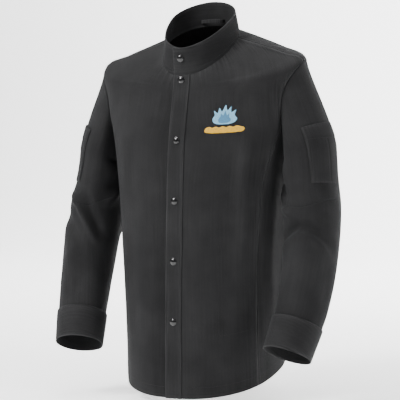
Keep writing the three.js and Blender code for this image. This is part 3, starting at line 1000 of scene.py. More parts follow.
def sleeve_crease(angle, along, path, width, depth):
    """path: (degrees round, share along) corners; width and depth in millimetres."""

    def offset(corner):
        around = (np.degrees(angle) - corner[0] + 540) % 360 - 180
        return np.stack([around, along - corner[1]], -1)

    return ridge(offset, path, width, depth, 0.35, (MM_PER_DEGREE, CREASE_MM))


LEFT_CREASES = [
    (
        [(172, 0.675), (142, 0.658), (116, 0.628), (92, 0.614), (68, 0.622), (42, 0.66), (8, 0.70)],
        8, 5.5,
    ),
    (
        [(176, 0.635), (142, 0.620), (116, 0.590), (92, 0.576), (68, 0.582), (40, 0.62), (2, 0.67)],
        12, -9.5,
    ),
    ([(160, 0.50), (128, 0.505), (96, 0.50), (64, 0.495), (24, 0.52)], 22, 6.5),
    ([(140, 0.475), (124, 0.50), (112, 0.525), (104, 0.55)], 6, 4.0),
    ([(134, 0.46), (116, 0.478), (104, 0.50)], 6, -3.2),
    ([(178, 0.25), (148, 0.34), (124, 0.43), (112, 0.49)], 13, -6.0),
    ([(178, 0.32), (155, 0.40), (138, 0.46)], 11, 4.5),
    ([(-160, 0.53), (-110, 0.565), (-60, 0.575)], 17, 7.0),
    ([(-170, 0.47), (-120, 0.505), (-70, 0.515)], 14, -6.5),
    ([(-165, 0.38), (-120, 0.42), (-85, 0.43)], 14, 3.5),
    ([(120, 0.68), (85, 0.74), (60, 0.83)], 20, 3.0),
    ([(-120, 0.66), (-80, 0.75), (-60, 0.86)], 22, 3.4),
    ([(40, 0.66), (20, 0.75), (10, 0.86)], 18, -3.0),
    ([(180, 0.08), (150, 0.17), (125, 0.26)], 13, -4.5),
    ([(-150, 0.12), (-125, 0.22), (-100, 0.33)], 15, 4.2),
    ([(-175, 0.15), (-150, 0.25), (-128, 0.34)], 13, -4.2),
]
RIGHT_CREASES = [
    ([(15, 0.44), (50, 0.475), (78, 0.515), (100, 0.575), (124, 0.64), (150, 0.68)], 8, 8.0),
    ([(40, 0.41), (70, 0.445), (92, 0.485), (114, 0.545), (138, 0.605), (165, 0.635)], 12, -9.5),
    ([(0, 0.52), (40, 0.56), (72, 0.615), (98, 0.68), (120, 0.73)], 16, -6.0),
    ([(168, 0.36), (148, 0.44), (132, 0.51)], 11, 5.0),
    ([(15, 0.56), (50, 0.61), (76, 0.69), (86, 0.79)], 20, 5.0),
    ([(178, 0.25), (150, 0.34), (128, 0.42)], 12, -4.5),
    ([(-160, 0.53), (-110, 0.565), (-60, 0.575)], 17, 6.5),
    ([(-170, 0.47), (-120, 0.505), (-70, 0.515)], 14, -6.0),
    ([(-165, 0.38), (-120, 0.42), (-85, 0.43)], 14, 3.5),
    ([(-120, 0.66), (-80, 0.75), (-60, 0.86)], 22, 3.2),
    ([(120, 0.72), (104, 0.80), (96, 0.89)], 18, -3.0),
    ([(180, 0.08), (150, 0.17), (125, 0.26)], 13, -4.5),
    ([(-150, 0.12), (-125, 0.22), (-100, 0.33)], 15, 4.0),
]


def sleeve_drape(angle, along, mirror):
    creases = RIGHT_CREASES if mirror else LEFT_CREASES
    lift = sum(sleeve_crease(angle, along, *crease) for crease in creases)
    points = np.stack([70 * np.cos(angle), 70 * np.sin(angle), CREASE_MM * along], -1)
    lift = lift + 1.0 * ripple(points, 21 + mirror, 120) + 0.4 * ripple(points, 31 + mirror, 46)
    settle = ease((along - 0.02) / 0.13) * ease((CUFF_START - along) / 0.06 + 0.12)
    return lift * settle


LINE_STEPS = np.linalg.norm(np.diff(sleeve_centre(np.linspace(0, 1, 2001)), axis=0), axis=1)
SLEEVE_MM = LINE_STEPS.sum()
CUFF_START = 1 - 58 / SLEEVE_MM
print("sleeve length", round(SLEEVE_MM, 1), "mm, cuff from", round(CUFF_START, 3))


def sleeve_cloth(angle, along, rise, mirror):
    points = sleeve_face(angle, along, rise + sleeve_drape(angle, along, mirror))
    return mirrored(points, mirror)


def elbow_cut(angle, radius):
    low, high = np.full(angle.shape, 0.33), np.full(angle.shape, 0.6)
    for _ in range(30):
        middle = (low + high) / 2
        offset = sleeve_face(angle, middle, 0.0) - ELBOW
        above = np.hypot(offset[..., 1], offset[..., 2]) > radius
        low, high = np.where(above, middle, low), np.where(above, high, middle)
    return (low + high) / 2


# %% [markdown]
# Each sleeve is two pieces that meet on the line where the elbow starts to bend. The upper one
# stretches between the shell and the arm, the lower one between the arm and the forearm. They
# share their edge, so at rest and in every pose they look like one sleeve.

# %% The sleeves
SLEEVE_COLUMNS = 132
SPLIT_RADIUS = ELBOW_CUT + 0.4
TUCKED_MM = 12


def sleeve_angle(u, mirror):
    return 2 * math.pi * turned_round(u, mirror) - math.pi


def welt_head(along):
    """The armhole's welt: the shell side is stitched, so the sleeve dips into the seam."""
    distance = along * SLEEVE_MM
    return -0.5 * np.exp(-((distance / 2.0) ** 2)) + 0.3 * np.exp(-(((distance - 7) / 4) ** 2))


def upper_sleeve(name, mirror):
    def place(u, v):
        angle = sleeve_angle(u, mirror)
        along = elbow_cut(angle, SPLIT_RADIUS) * v
        return sleeve_cloth(angle, along, welt_head(along), mirror)

    return grid_piece(name, SLEEVE_COLUMNS, 91, place, closed=True, worn=0)


def lower_sleeve(name, mirror):
    def place(u, v):
        angle = sleeve_angle(u, mirror)
        along = mix(elbow_cut(angle, SPLIT_RADIUS), CUFF_START + TUCKED_MM / SLEEVE_MM, v)
        return sleeve_cloth(angle, along, 0.0, mirror)

    return grid_piece(name, SLEEVE_COLUMNS, 95, place, closed=True, worn=0)


sleeves = {}
for side, mirror in SIDES:
    sleeves[side, "upper"] = upper_sleeve(f"{side}_upper_sleeve_cloth", mirror)
    sleeves[side, "lower"] = lower_sleeve(f"{side}_lower_sleeve_cloth", mirror)

# %% [markdown]
# A cuff is a stiff band of doubled cloth. Its upper edge stands proud of the sleeve and it is
# lapped along one line at the back, where the real one is closed.

# %% The cuffs
CUFF_MM = 2.4
CUFF_GAP = 0.8
CUFF_LAP = math.radians(-128)
CUFF_ROWS = (0.07, 0.92)


def cuff_rise(angle, share):
    """The cuff's thickness, its lap at the back, two stitched grooves and a slight waviness."""
    around = (angle - CUFF_LAP + 3 * math.pi) % (2 * math.pi) - math.pi
    step = 0.9 * ease(around / 0.035 + 0.5) * ease((0.5 - around) / 0.4)
    grooves = (-0.4 * np.exp(-(((share - row) / 0.022) ** 2)) for row in CUFF_ROWS)
    stitched = next(grooves) + next(grooves)
    soft = 0.5 * np.sin(2 * angle + 1) * np.sin(share * math.pi)
    return CUFF_GAP + CUFF_MM + step + stitched + soft


def cuff_band(name, mirror):
    def place(u, v):
        angle = sleeve_angle(u, mirror)
        along = mix(CUFF_START, 1, v)
        return mirrored(sleeve_face(angle, along, cuff_rise(angle, v)), mirror)

    return grid_piece(
        name, 120, 24, place, CUFF_MM, closed=True, soft=1, turned=True, worn=0.005
    )


cuffs = {side: cuff_band(f"{side}_cuff_cloth", mirror) for side, mirror in SIDES}

# %% [markdown]
# The pockets on the sleeves are patches sewn on three sides, with a top band and one line of
# stitches down the middle that divides them for pencils. The patch hugs the sleeve at its sewn
# edges and stands off it a little between them.

# %% The sleeve pockets
POCKET_TOP, POCKET_FOOT = 0.15, 0.395
POCKET_FROM, POCKET_TO = -12.0, 58.0
POCKET_WIDE_MM, POCKET_TALL_MM = 88, 120
PENCIL_LINE, POCKET_BAND = 0.56, 0.84


def pocket_rise(u, v):
    """The patch's lift: sewn down round three sides and along the pencil line, with a top band."""
    side = np.minimum(u, 1 - u) * POCKET_WIDE_MM
    sewn = ease(np.minimum(side, v * POCKET_TALL_MM) / 7)
    line = np.exp(-(((u - PENCIL_LINE) * POCKET_WIDE_MM / 1.4) ** 2))
    line = line * ease((POCKET_BAND - v) / 0.05)
    band_step = 0.7 * ease((v - POCKET_BAND) * POCKET_TALL_MM / 1.5)
    return 1.5 + 1.1 * sewn * (1 - 0.8 * line) + band_step


def sleeve_pocket(name, mirror):
    def place(u, v):
        share = turned_round(u, mirror)
        turn = np.radians(mix(POCKET_TO, POCKET_FROM, share))
        along = mix(POCKET_FOOT, POCKET_TOP, v)
        return sleeve_cloth(turn, along, pocket_rise(share, v), mirror)

    return grid_piece(name, 44, 60, place, 1.0, soft=1, worn=0.004)


pockets = {
    side: sleeve_pocket(f"{side}_sleeve_pocket_cloth", mirror) for side, mirror in SIDES
}

# %% [markdown]
# The pocket inside the left front shows only by its stitches and by a faint print of its edges. The
# bag itself is a soft sheet behind the front, open at the top.

# %% The inside pocket
POCKET_NEAR_X = 94
BAG_FOOT, BAG_TALL, BAG_WIDE = 125, 180, 75


def inside_bag():
    low, high = height_at(BAG_FOOT), height_at(BAG_FOOT + BAG_TALL)

    def place(u, v):
        height = mix(low, high, v)
        near = crossing(body_face, POCKET_NEAR_X, height[:, 0])[:, None]
        far = -panel_edge(height, FRONT_WIDE)
        angle = mix(near, far, 1 - u)
        side = np.minimum(u, 1 - u) * BAG_WIDE
        sewn = ease(np.minimum(side, v * BAG_TALL) / 8)
        return on_body(angle, height, -2.6 - 1.2 * sewn)[0]

    return grid_piece("inside_pocket_cloth", 30, 60, place, 0.9)


bag = inside_bag()

# %% [markdown]
# The snaps' visible half is a domed cap in dark plated metal, with a rolled rim. It is one outline
# spun round its axis, and six copies sit on the cloth along its normal. The plating is
# scuffed, so its roughness follows a fine noise.


# %% Plated metal for the snaps
def plated(name, colour, rough, metallic):
    material, nodes, links, shader = new_material(
        name, Metallic=metallic, Coat_Weight=0.12, Coat_Roughness=0.1
    )
    scuff = grain(nodes, links, 700.0, 4.0, 0.65)
    patch = grain(nodes, links, 160.0, 2.0)
    dark = tuple(c * 0.6 for c in colour)
    tint = ramp(nodes, links, patch, [(0.3, dark), (0.75, colour)])
    links.new(tint, shader.inputs["Base Color"])
    gloss = (scuff, [(0.35, grey(rough)), (0.8, grey(rough + 0.22))])
    finish(nodes, links, shader, gloss, scuff, 0.12, 0.0001)
    return material


BLACK_ENAMEL = plated("black_enamel", (0.006, 0.006, 0.0065), 0.14, 0.0)
NICKEL = plated("nickel", (0.42, 0.42, 0.44), 0.24, 1.0)

# %% The snap caps
COLLAR_SNAP = 0.62
CAP_OUTLINE = [
    (0.0, 3.2), (1.6, 3.12), (3.2, 2.85), (4.7, 2.35), (5.8, 1.8), (6.35, 1.35),
    (6.6, 1.12), (6.95, 1.2), (7.3, 1.1), (7.5, 0.75), (7.45, 0.35), (7.2, 0.0), (0.0, 0.0),
]


def spun(outline, steps=40):
    """A closed outline of (radius, rise) spun into a solid round +Z, in millimetres."""
    bm = bmesh.new()
    points = [bm.verts.new((radius, 0, rise)) for radius, rise in outline]
    edges = [bm.edges.new(pair) for pair in zip(points[:-1], points[1:])]
    bmesh.ops.spin(
        bm, geom=points + edges, cent=(0, 0, 0), axis=(0, 0, 1), angle=2 * math.pi,
        steps=steps, use_merge=True,
    )
    bmesh.ops.remove_doubles(bm, verts=bm.verts, dist=1e-4)
    bmesh.ops.recalc_face_normals(bm, faces=bm.faces)
    return bm


def seat_matrix(face, x, height, rise):
    """Where a cap sits on a face, with its own axis turned along the cloth's normal."""
    height = np.array([height])
    angle = crossing(face, x, height)
    at = lifted(face, angle, height, rise)
    out = normal_of(face, angle, height)[0]
    if face is body_face:
        at = at + out * torso_drape(at)[:, None]
    turn = Vector(out).to_track_quat("Z", "X").to_matrix().to_4x4()
    return Matrix.Translation(Vector(to_frame(at[0]))) @ turn @ Matrix.Scale(0.001, 4)


def finish_mesh(name, bm, material):
    piece = new_piece(name, bm)
    dress(piece, material)
    return piece


seats = [seat_matrix(collar_face, 0.0, COLLAR_SNAP, COLLAR_PROUD + 0.3)]
for z in SNAP_HEIGHTS:
    seats.append(seat_matrix(body_face, 0.0, float(height_at(z)), BAND_GAP + BAND_MM))
for number, seat in enumerate(seats, 1):
    bm = spun(CAP_OUTLINE)
    bm.transform(seat)
    cap = finish_mesh(f"snap_cap_dome_{number}", bm, BLACK_ENAMEL)
    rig.replaces(cap, f"snap_cap_{number}")
    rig.ride(cap, "left_front")
for name, frame_node in frame["nodes"].items():
    if name.startswith(("snap_socket", "snap_stud", "snap_post")):
        dress(frame_node, NICKEL)
print(len(seats), "caps")

# %% [markdown]
# On the chest is a small embroidered badge. Its drawing here is generic: a flame over a bead of
# weld metal. Embroidery is dense satin stitching, so each shape is a slightly padded patch whose
# material has fine parallel threads.


# %% Embroidery thread
def satin(name, colour, turn):
    material, nodes, links, shader = new_material(name, Sheen_Weight=0.04, Sheen_Roughness=0.35)
    threads = yarn_bands(nodes, links, 420, turn, 1.2, 2.0)
    drift = yarn_noise(nodes, links, (300, 300, 1), 3.0)
    dark = tuple(c * 0.55 for c in colour)
    tone = ramp(nodes, links, threads, [(0.0, dark), (0.6, colour)])
    shade = ramp(nodes, links, drift, [(0.3, grey(0.82)), (0.7, grey(1.1))])
    silk = blend_colours(nodes, links, "MULTIPLY", 1.0, tone, shade)
    links.new(silk, shader.inputs["Base Color"])
    gloss = (drift, [(0.3, grey(0.42)), (0.7, grey(0.6))])
    finish(nodes, links, shader, gloss, threads, 0.7, 0.0004)
    return material


PALE_BLUE = satin("pale_blue_thread", (0.2, 0.48, 0.68), 0.5)
SKY_BLUE = satin("sky_blue_thread", (0.04, 0.2, 0.36), 1.1)
YELLOW = satin("yellow_thread", (0.8, 0.44, 0.01), 0.0)

# %% The badge
EMBLEM_X, EMBLEM_Z = 101, 563
FLAME_OUTER = [
    (-21, -6), (-25, 2), (-21, 10), (-23, 19), (-15, 14), (-12, 24), (-6, 17), (1, 29), (5, 18),
    (12, 25), (13, 14), (22, 18), (20, 8), (25, 1), (20, -6), (8, -9), (-9, -9),
]
FLAME_INNER = [
    (-11, -5), (-13, 1), (-9, 7), (-8, 13), (-3, 9), (1, 18), (4, 9), (9, 12), (9, 5),
    (13, 0), (10, -5), (0, -7),
]
BEAD = [
    (-38, -24), (-40, -20), (-37, -15), (-30, -13), (-24, -15), (-17, -13), (-10, -15), (-3, -13),
    (4, -15), (11, -13), (18, -15), (25, -13), (32, -15), (38, -17), (40, -21), (36, -25),
    (24, -26), (0, -26), (-24, -26),
]


def smooth_outline(points, steps=5):
    ring, parts = np.asarray(points + points[:3], float), np.arange(steps) / steps
    return np.array([cubic(*ring[i : i + 4], part) for i in range(len(points)) for part in parts])


def embroidered(name, outline, rise, material):
    """A flat outline filled, cut fine, laid on the chest and padded in the middle."""
    points = smooth_outline(outline)
    bm = bmesh.new()
    ring = [bm.verts.new((x, z, 0)) for x, z in points]
    bm.faces.new(ring)
    bmesh.ops.triangulate(bm, faces=bm.faces[:])
    for cut in np.arange(-42, 43, 2.0):
        for normal in ((1, 0, 0), (0, 1, 0)):
            geometry = bm.verts[:] + bm.edges[:] + bm.faces[:]
            bmesh.ops.bisect_plane(
                bm, geom=geometry, plane_co=(normal[0] * cut, normal[1] * cut, 0), plane_no=normal
            )
    bmesh.ops.recalc_face_normals(bm, faces=bm.faces)
    flat = np.array([v.co for v in bm.verts])
    gaps = np.linalg.norm(flat[:, None, :2] - points[None], axis=-1).min(1)
    heights = height_at(EMBLEM_Z + flat[:, 1])
    angle = crossing(body_face, EMBLEM_X + flat[:, 0], heights)
    base, out = body_face(angle, heights), normal_of(body_face, angle, heights)
    lift = torso_drape(base) + rise + 0.5 * ease(gaps / 1.6)
    placed = to_frame(base + out * lift[:, None])
    for vertex, at in zip(bm.verts, placed):
        vertex.co = at
    piece = finish_mesh(name, bm, material)
    normals = np.zeros(len(piece.data.polygons) * 3)
    piece.data.polygons.foreach_get("normal", normals)
    if (normals.reshape(-1, 3) @ out.mean(0)).mean() < 0:
        piece.data.flip_normals()
    layer = piece.data.uv_layers.new(name="cloth")
    corner = np.zeros(len(piece.data.loops), int)
    piece.data.loops.foreach_get("vertex_index", corner)
    layer.data.foreach_set("uv", (flat[corner][:, :2] / 1000).astype(np.float32).ravel())
    wall = piece.modifiers.new("thread", "SOLIDIFY")
    wall.thickness = 0.0006
    wall.offset = -1
    print(name, len(piece.data.vertices), "points")
    return piece


badge = [
    embroidered("badge_flame", FLAME_OUTER, 0.5, PALE_BLUE),
    embroidered("badge_flame_heart", FLAME_INNER, 0.95, SKY_BLUE),
    embroidered("badge_weld_bead", BEAD, 0.5, YELLOW),
]
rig.replaces(badge[0], "chest_emblem")

# %% [markdown]
# Seams are held by rows of thread. One stitch is a tiny capsule, three millimetres long, half sunk
# in the cloth. A row is a path over a face; stitches are laid along it at an even pitch, and all
# the rows of one panel are one piece, so that they move with their cloth.

# %% One stitch and a row of them
STITCH_MM = 2.7
PITCH_MM = 3.9
SUNK_MM = 0.12
SEAM_MM = 7.5
HEM_ROW = HEM_MM * 0.9 / MM_PER_SHARE


def thread_material():
    material, nodes, links, shader = new_material("black_thread", Specular_IOR_Level=0.15)
    ply = grain(nodes, links, 1400.0, 2.0)
    tone = ramp(nodes, links, ply, [(0.3, (0.007, 0.007, 0.0075)), (0.7, (0.022, 0.022, 0.023))])
    links.new(tone, shader.inputs["Base Color"])
    gloss = (ply, [(0.3, grey(0.5)), (0.7, grey(0.72))])
    finish(nodes, links, shader, gloss, ply, 0.5, 0.0002)
    return material


THREAD = thread_material()


def one_stitch():
    bm = bmesh.new()
    bmesh.ops.create_uvsphere(bm, u_segments=6, v_segments=4, radius=1)
    points = np.array([v.co for v in bm.verts])
    faces = [[v.index for v in f.verts] for f in bm.faces]
    bm.free()
    return points, faces


STITCH_POINTS, STITCH_FACES = one_stitch()


def stitch_rows(name, rows, thick=0.42):
    """rows: paths of (points, normals) in drawn millimetres. Returns one piece of thread."""
    bm = bmesh.new()
    count = 0
    for points, normals in rows:
        lengths = np.concatenate([[0], np.cumsum(np.linalg.norm(np.diff(points, axis=0), axis=1))])
        stops = np.arange(PITCH_MM, lengths[-1] - PITCH_MM / 2, PITCH_MM)
        for stop in stops:
            at = np.array([np.interp(stop, lengths, points[:, k]) for k in range(3)])
            ahead = np.array([np.interp(stop + 1, lengths, points[:, k]) for k in range(3)])
            out = np.array([np.interp(stop, lengths, normals[:, k]) for k in range(3)])
            run = unit(ahead - at)
            out = unit(out - run * (out @ run))
            across = np.cross(out, run)
            turn = np.column_stack([across * thick * 1.2, out * thick, run * STITCH_MM / 2])
            placed = to_frame(at + out * SUNK_MM + STITCH_POINTS @ turn.T)
            vertices = [bm.verts.new(p) for p in placed]
            for face in STITCH_FACES:
                bm.faces.new([vertices[k] for k in face])
            count += 1
    bmesh.ops.recalc_face_normals(bm, faces=bm.faces)
    piece = finish_mesh(name, bm, THREAD)
    print(name, count, "stitches")
    return piece


# %% The thread on the fronts
def offset_edge(height, widest, mm):
    """The angle that is mm inside a front or back panel's edge."""
    edge = panel_edge(height, widest)
    reach = np.hypot(*np.moveaxis(body_face(edge, height)[..., :2], -1, 0))
    return edge + mm / reach


SEAM_ROWS = (
    np.linspace(0.01, SEAM_TOP, 160),
    ARMHOLE_MIDDLE - ARMHOLE_REACH * np.cos(np.linspace(math.radians(60), math.pi, 120)),
    np.linspace(SHOULDER, 0.99, 60),
)


def seam_edge(height, widest):
    return float(panel_edge(np.array(height), widest))


def front_rows(mirror):
    """Beside the side seam, the armhole and the shoulder seam, and along the hem."""
    rows = [
        on_body(-offset_edge(heights, FRONT_WIDE, SEAM_MM), heights, WELT_LIFT, mirror)
        for heights in SEAM_ROWS
    ]
    start = crossing(body_face, PLACKET_HALF, np.array([HEM_ROW]))[0]
    across = np.linspace(start, -seam_edge(HEM_ROW, FRONT_WIDE), 120)
    return rows + [on_body(across, HEM_ROW, 0.0, mirror)]


def bag_rows():
    low, high = height_at(BAG_FOOT), height_at(BAG_FOOT + BAG_TALL)
    heights = np.linspace(low, high, 60)
    sides = (POCKET_NEAR_X, POCKET_NEAR_X + 6)
    rows = [on_body(crossing(body_face, x, heights), heights) for x in sides]
    start = crossing(body_face, POCKET_NEAR_X, np.array([low]))[0]
    rows.append(on_body(np.linspace(start, -seam_edge(low, FRONT_WIDE), 60), low))
    tack = np.linspace(POCKET_NEAR_X - 3, POCKET_NEAR_X + 11, 12)
    for k in range(3):
        top = high + k * 1.1 / MM_PER_SHARE
        rows.append(on_body(crossing(body_face, tack, top), top))
    return rows


def placket_rows():
    heights = np.linspace(0.004, 0.994, 260)
    inner, outer = PLACKET_HALF - 3.2, -(PLACKET_HALF - 2.6)
    rise = BAND_GAP + BAND_MM - 0.4
    return [on_body(crossing(body_face, x, heights), heights, rise) for x in (inner, outer)]


left_thread = stitch_rows("left_front_thread", front_rows(False) + bag_rows())
right_thread = stitch_rows("right_front_thread", front_rows(True))
placket_thread = stitch_rows("placket_thread", placket_rows())


# %% The thread on the back and the collar
def back_rows():
    rows = []
    for left in (True, False):
        for heights in SEAM_ROWS:
            angle = offset_edge(heights, BACK_WIDE, SEAM_MM)
            rows.append(on_body(angle if left else math.pi - angle, heights, WELT_LIFT))
    edge = seam_edge(HEM_ROW, BACK_WIDE)
    return rows + [on_body(np.linspace(edge, math.pi - edge, 260), HEM_ROW)]


def side_rows():
    path = np.linspace(-seam_edge(HEM_ROW, FRONT_WIDE), seam_edge(HEM_ROW, BACK_WIDE), 60)
    return [on_body(path, HEM_ROW, 0.0, mirror) for _, mirror in SIDES]


def on_collar(angle, height, drop=0.0, mirror=False, inside=False):
    rise = collar_rise(angle, height) - drop * collar_under(angle, height)
    points = lifted(collar_face, angle, height, rise - (COLLAR_MM if inside else 0))
    out = normal_of(collar_face, angle, height) * (-1 if inside else 1)
    return mirrored(points, mirror), mirrored(out, mirror)


def collar_rows(start, end, drop=0.0, mirror=False):
    path = np.linspace(start, end, 160)
    return [
        on_collar(path, np.full(160, height), drop, mirror, inside)
        for height, inside in ((TOP_ROW, False), (FOOT_ROW, False), (TOP_ROW, True))
    ]


throat = float(crossing(collar_face, -PLACKET_HALF + 3, np.array([0.5]))[0])
lap_heights = np.linspace(FOOT_ROW, TOP_ROW, 20)
lap_edge = crossing(collar_face, -PLACKET_HALF + 3, lap_heights)
back_paths = back_rows() + side_rows() + collar_rows(0.02, math.pi - 0.02)
back_thread = stitch_rows("back_thread", back_paths)
left_collar_thread = stitch_rows(
    "left_collar_thread", collar_rows(throat, -0.02) + [on_collar(lap_edge, lap_heights)]
)
right_collar_thread = stitch_rows(
    "right_collar_thread", collar_rows(throat, -0.02, COLLAR_LAP_DROP, True)
)


# %% The thread on the sleeves
def on_sleeve(degrees, along, rise, mirror, draped=True):
    angle, along = together(np.radians(degrees), along)
    if draped:
        rise = rise + sleeve_drape(angle, along, mirror)
    points = sleeve_face(angle, along, rise)
    out = unit(sleeve_face(angle, along, rise + 1.0) - points)
    return mirrored(points, mirror), mirrored(out, mirror)


def pocket_thread_rows(mirror):
    """Both sides, the foot, under the band, the pencil line, and along the mouth."""
    line, short = np.linspace(0.03, 0.97, 60), np.linspace(0.03, 0.83, 60)
    sides = [(0.035, line), (0.965, line), (line, 0.025)]
    rows = []
    for u, v in sides + [(line, 0.83), (PENCIL_LINE, short), (line, 0.975)]:
        u, v = together(u, v)
        turn, along = mix(POCKET_TO, POCKET_FROM, u), mix(POCKET_FOOT, POCKET_TOP, v)
        rows.append(on_sleeve(turn, along, pocket_rise(u, v), mirror))
    return rows


sleeve_threads = {}
round_sleeve = np.linspace(-180, 180, 240)
for side, mirror in SIDES:
    name = f"{side}_upper_sleeve_thread"
    sleeve_threads[side, "upper"] = stitch_rows(name, pocket_thread_rows(mirror))
    rows = []
    for share in CUFF_ROWS:
        rise = cuff_rise(np.radians(round_sleeve), share)
        rows.append(on_sleeve(round_sleeve, mix(CUFF_START, 1, share), rise, mirror, draped=False))
    sleeve_threads[side, "lower"] = stitch_rows(f"{side}_cuff_thread", rows)

# %% [markdown]
# Each cloth piece now takes the place of its frame node. Pieces that cross a joint bend between its
# two bodies. A front bends from the seams, which belong to the shell, to the lap, which
# belongs to the front; an upper sleeve bends from the armhole to the arm, and a lower sleeve
# from the arm to the forearm.

# %% What each piece stands for and follows
SEAM_START, LAP_END = (150, -60, 350), (100.3, -144.5, 350)


FRONTS = {
    "left": (
        left_front, placket, left_collar, bag, left_thread, placket_thread, left_collar_thread,
        *badge,
    ),
    "right": (right_front, facing, right_collar, right_thread, right_collar_thread),
}


def across(piece, side, bodies, start, end):
    """Blend a piece between two bodies, along a line drawn for the wearer's left."""
    start, end = (
        tuple(to_frame(mirrored(np.array(point, float), side == "right"))) for point in (start, end)
    )
    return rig.blend(piece, *bodies, start=start, end=end)


for side, pieces in FRONTS.items():
    for piece in pieces:
        across(piece, side, ("shell", f"{side}_front"), SEAM_START, LAP_END)
for piece in (back, *sides, collar_back, loop, back_thread):
    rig.ride(piece, "shell")


def head_blend(lean):
    """From the armhole's last point to the elbow line's first, along a slope out and down."""
    around = np.linspace(-math.pi, math.pi, 181)
    seam = sleeve_face(around, np.zeros_like(around), 0.0)
    split = sleeve_face(around, elbow_cut(around, ELBOW_CUT), 0.0)
    start = seam[np.argmax(seam @ lean)]
    reach = (split @ lean).min() - start @ lean
    print("sleeve head blend over", round(reach, 1), "mm")
    return tuple(start), tuple(start + lean * reach)


HEAD_START, HEAD_END = head_blend(unit(np.array([0.96, 0.0, -0.28])))
ELBOW_START, ELBOW_END = (250, -12, 405), (255, -36, 262)
for side in ("left", "right"):
    arm, forearm = f"{side}_arm", f"{side}_forearm"
    for piece in (sleeves[side, "upper"], pockets[side], sleeve_threads[side, "upper"]):
        across(piece, side, ("shell", arm), HEAD_START, HEAD_END)
    across(sleeves[side, "lower"], side, (arm, forearm), ELBOW_START, ELBOW_END)
    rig.ride(cuffs[side], forearm)
    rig.ride(sleeve_threads[side, "lower"], forearm)
    for part in ("upper", "lower"):
        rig.replaces(sleeves[side, part], f"{side}_{part}_sleeve")
    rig.replaces(cuffs[side], f"{side}_cuff")
    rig.replaces(pockets[side], f"{side}_sleeve_pocket")
for piece, replaced in (
    (left_front, "left_front_panel"), (right_front, "right_front_panel"), (back, "back_panel"),
    (sides[0], "left_side_panel"), (sides[1], "right_side_panel"), (placket, "left_placket"),
    (facing, "right_facing"), (left_collar, "left_collar"), (right_collar, "right_collar"),
    (collar_back, "collar_back"), (loop, "hanger_loop"), (bag, "inside_pocket"),
):
    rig.replaces(piece, replaced)

# %% [markdown]
# Every cloth piece is declared as a sheet, with the size it is cut to: what its grid measures along
# its widest row and its longest column, and the area that its cells add up to.


# %% The sheets' flat sizes
def flat_size(piece):
    mesh = piece.data
    uv = np.zeros(len(mesh.loops) * 2)
    mesh.uv_layers["cloth"].data.foreach_get("uv", uv)
    wide, long = np.ptp(uv.reshape(-1, 2), axis=0)
    area = sum(polygon.area for polygon in mesh.polygons)
    wide, long = max(0.01, float(wide)), max(0.01, float(long))
    return (wide, long), min(area, wide * long)


HUNG_FROM = {"hanger_loop_tape": ["collar_back_cloth"]}
for name, piece in made.items():
    flat, area = flat_size(piece)
    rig.sheet(piece, flat=flat, held="hung", rests_on=HUNG_FROM.get(name, []), area=area)
    print(name, [round(x, 3) for x in flat], round(area, 4))

# %% [markdown]
# The floor is a plain pale sweep that curves up behind the jacket and glows a little, so that it
# stays pale. The jacket hangs as if on an unseen stand, a little above it. The key light is soft
# and comes from the upper left; a weaker one lights the other sleeve, and one the sweep.

# %% Floor and light
FLOOR_Z = frame_box[0].z - 0.012
SWEEP_RUN, FLAT_RUN, SWEEP_RADIUS = 11, 7.0, 1.5
SWEEP_NEAR, SWEEP_HALF = 4.5, 9


def sweep_floor():
    bm = bmesh.new()
    bmesh.ops.create_grid(bm, x_segments=2, y_segments=60, size=1)
    for vertex in bm.verts:
        run = (vertex.co.y + 1) / 2 * SWEEP_RUN
        turn = min(max((run - FLAT_RUN) / SWEEP_RADIUS, 0), math.pi / 2)
        rest = max(run - FLAT_RUN - SWEEP_RADIUS * math.pi / 2, 0)
        depth = min(run, FLAT_RUN) + SWEEP_RADIUS * math.sin(turn) - SWEEP_NEAR
        height = SWEEP_RADIUS * (1 - math.cos(turn)) + rest
        vertex.co = Vector((vertex.co.x * SWEEP_HALF, depth, height))
    bmesh.ops.recalc_face_normals(bm, faces=bm.faces)
    floor = new_piece("floor", bm)
    floor.location.z = FLOOR_Z
    material, nodes, links, shader = new_material("pale_floor", Roughness=0.9)
    shader.inputs["Base Color"].default_value = (0.93, 0.93, 0.93, 1)
    shader.inputs["Emission Color"].default_value = (1, 1, 1, 1)
    shader.inputs["Emission Strength"].default_value = 1.15
    dress(floor, material)
    return floor


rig.stage(sweep_floor())


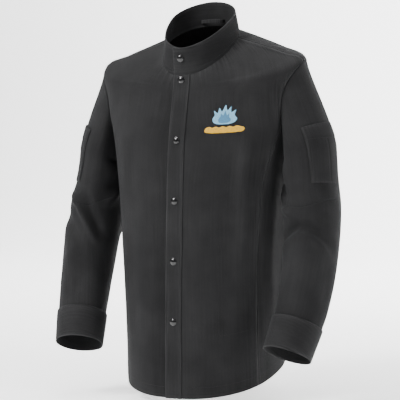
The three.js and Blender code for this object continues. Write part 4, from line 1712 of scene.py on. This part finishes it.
def soft_light(name, at, aim, size, watts):
    lamp = bpy.data.lights.new(name, "AREA")
    lamp.shape = "RECTANGLE"
    lamp.size, lamp.size_y = size
    lamp.energy = watts
    light = bpy.data.objects.new(name, lamp)
    bpy.context.scene.collection.objects.link(light)
    light.location = at
    direction = Vector(aim) - Vector(at)
    light.rotation_euler = direction.to_track_quat("-Z", "Y").to_euler()


for light in (
    ("key", (-1.7, -1.9, 1.9), (0, -0.05, -0.1), (1.1, 1.1), 170),
    ("side", (2.4, -0.7, 1.2), (0.2, 0, -0.1), (0.9, 1.4), 42),
    ("top", (-0.2, 0.2, 2.3), (0, 0, -0.3), (2.0, 2.0), 75),
    ("behind", (0, 1.6, 1.6), (0, 5, -0.6), (3.0, 1.6), 260),
):
    soft_light(*light)
world = bpy.data.worlds.new("studio")
world.use_nodes = True
world.node_tree.nodes["Background"].inputs[0].default_value = (1, 1, 1, 1)
world.node_tree.nodes["Background"].inputs[1].default_value = 0.16
bpy.context.scene.world = world

# %% [markdown]
# The camera stands a little to the wearer's left and slightly above the middle, three and a half
# metres away, with a long lens. The picture is 400 by 400.

# %% The camera
AZIMUTH, ELEVATION, DISTANCE = math.radians(27), math.radians(3.7), 3.4335
TARGET = Vector((0, -0.068, -0.385))
JACKET_SCALE = 0.476
CENTRE = (203.2, 207.6)
away = Vector((
    math.sin(AZIMUTH) * math.cos(ELEVATION), -math.cos(AZIMUTH) * math.cos(ELEVATION),
    math.sin(ELEVATION),
))
lens = bpy.data.cameras.new("camera")
lens.sensor_width = 36
lens.lens = JACKET_SCALE * DISTANCE * 1000 * 36 / 400
lens.shift_x, lens.shift_y = -(CENTRE[0] - 200) / 400, (CENTRE[1] - 200) / 400
camera = bpy.data.objects.new("camera", lens)
bpy.context.scene.collection.objects.link(camera)
straight = (-away).to_track_quat("-Z", "Y").to_matrix().to_4x4()
lean = Matrix.Rotation(math.radians(-1.0), 4, "Z")
camera.matrix_world = Matrix.Translation(TARGET + away * DISTANCE) @ straight @ lean
bpy.context.scene.camera = camera

# %% The sizes
look_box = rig.bounds()
with open("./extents.json", "w") as report:
    json.dump({"cad": [list(c) for c in frame_box], "visual": [list(c) for c in look_box]}, report)
print("visual box", [round(x, 4) for corner in look_box for x in corner])
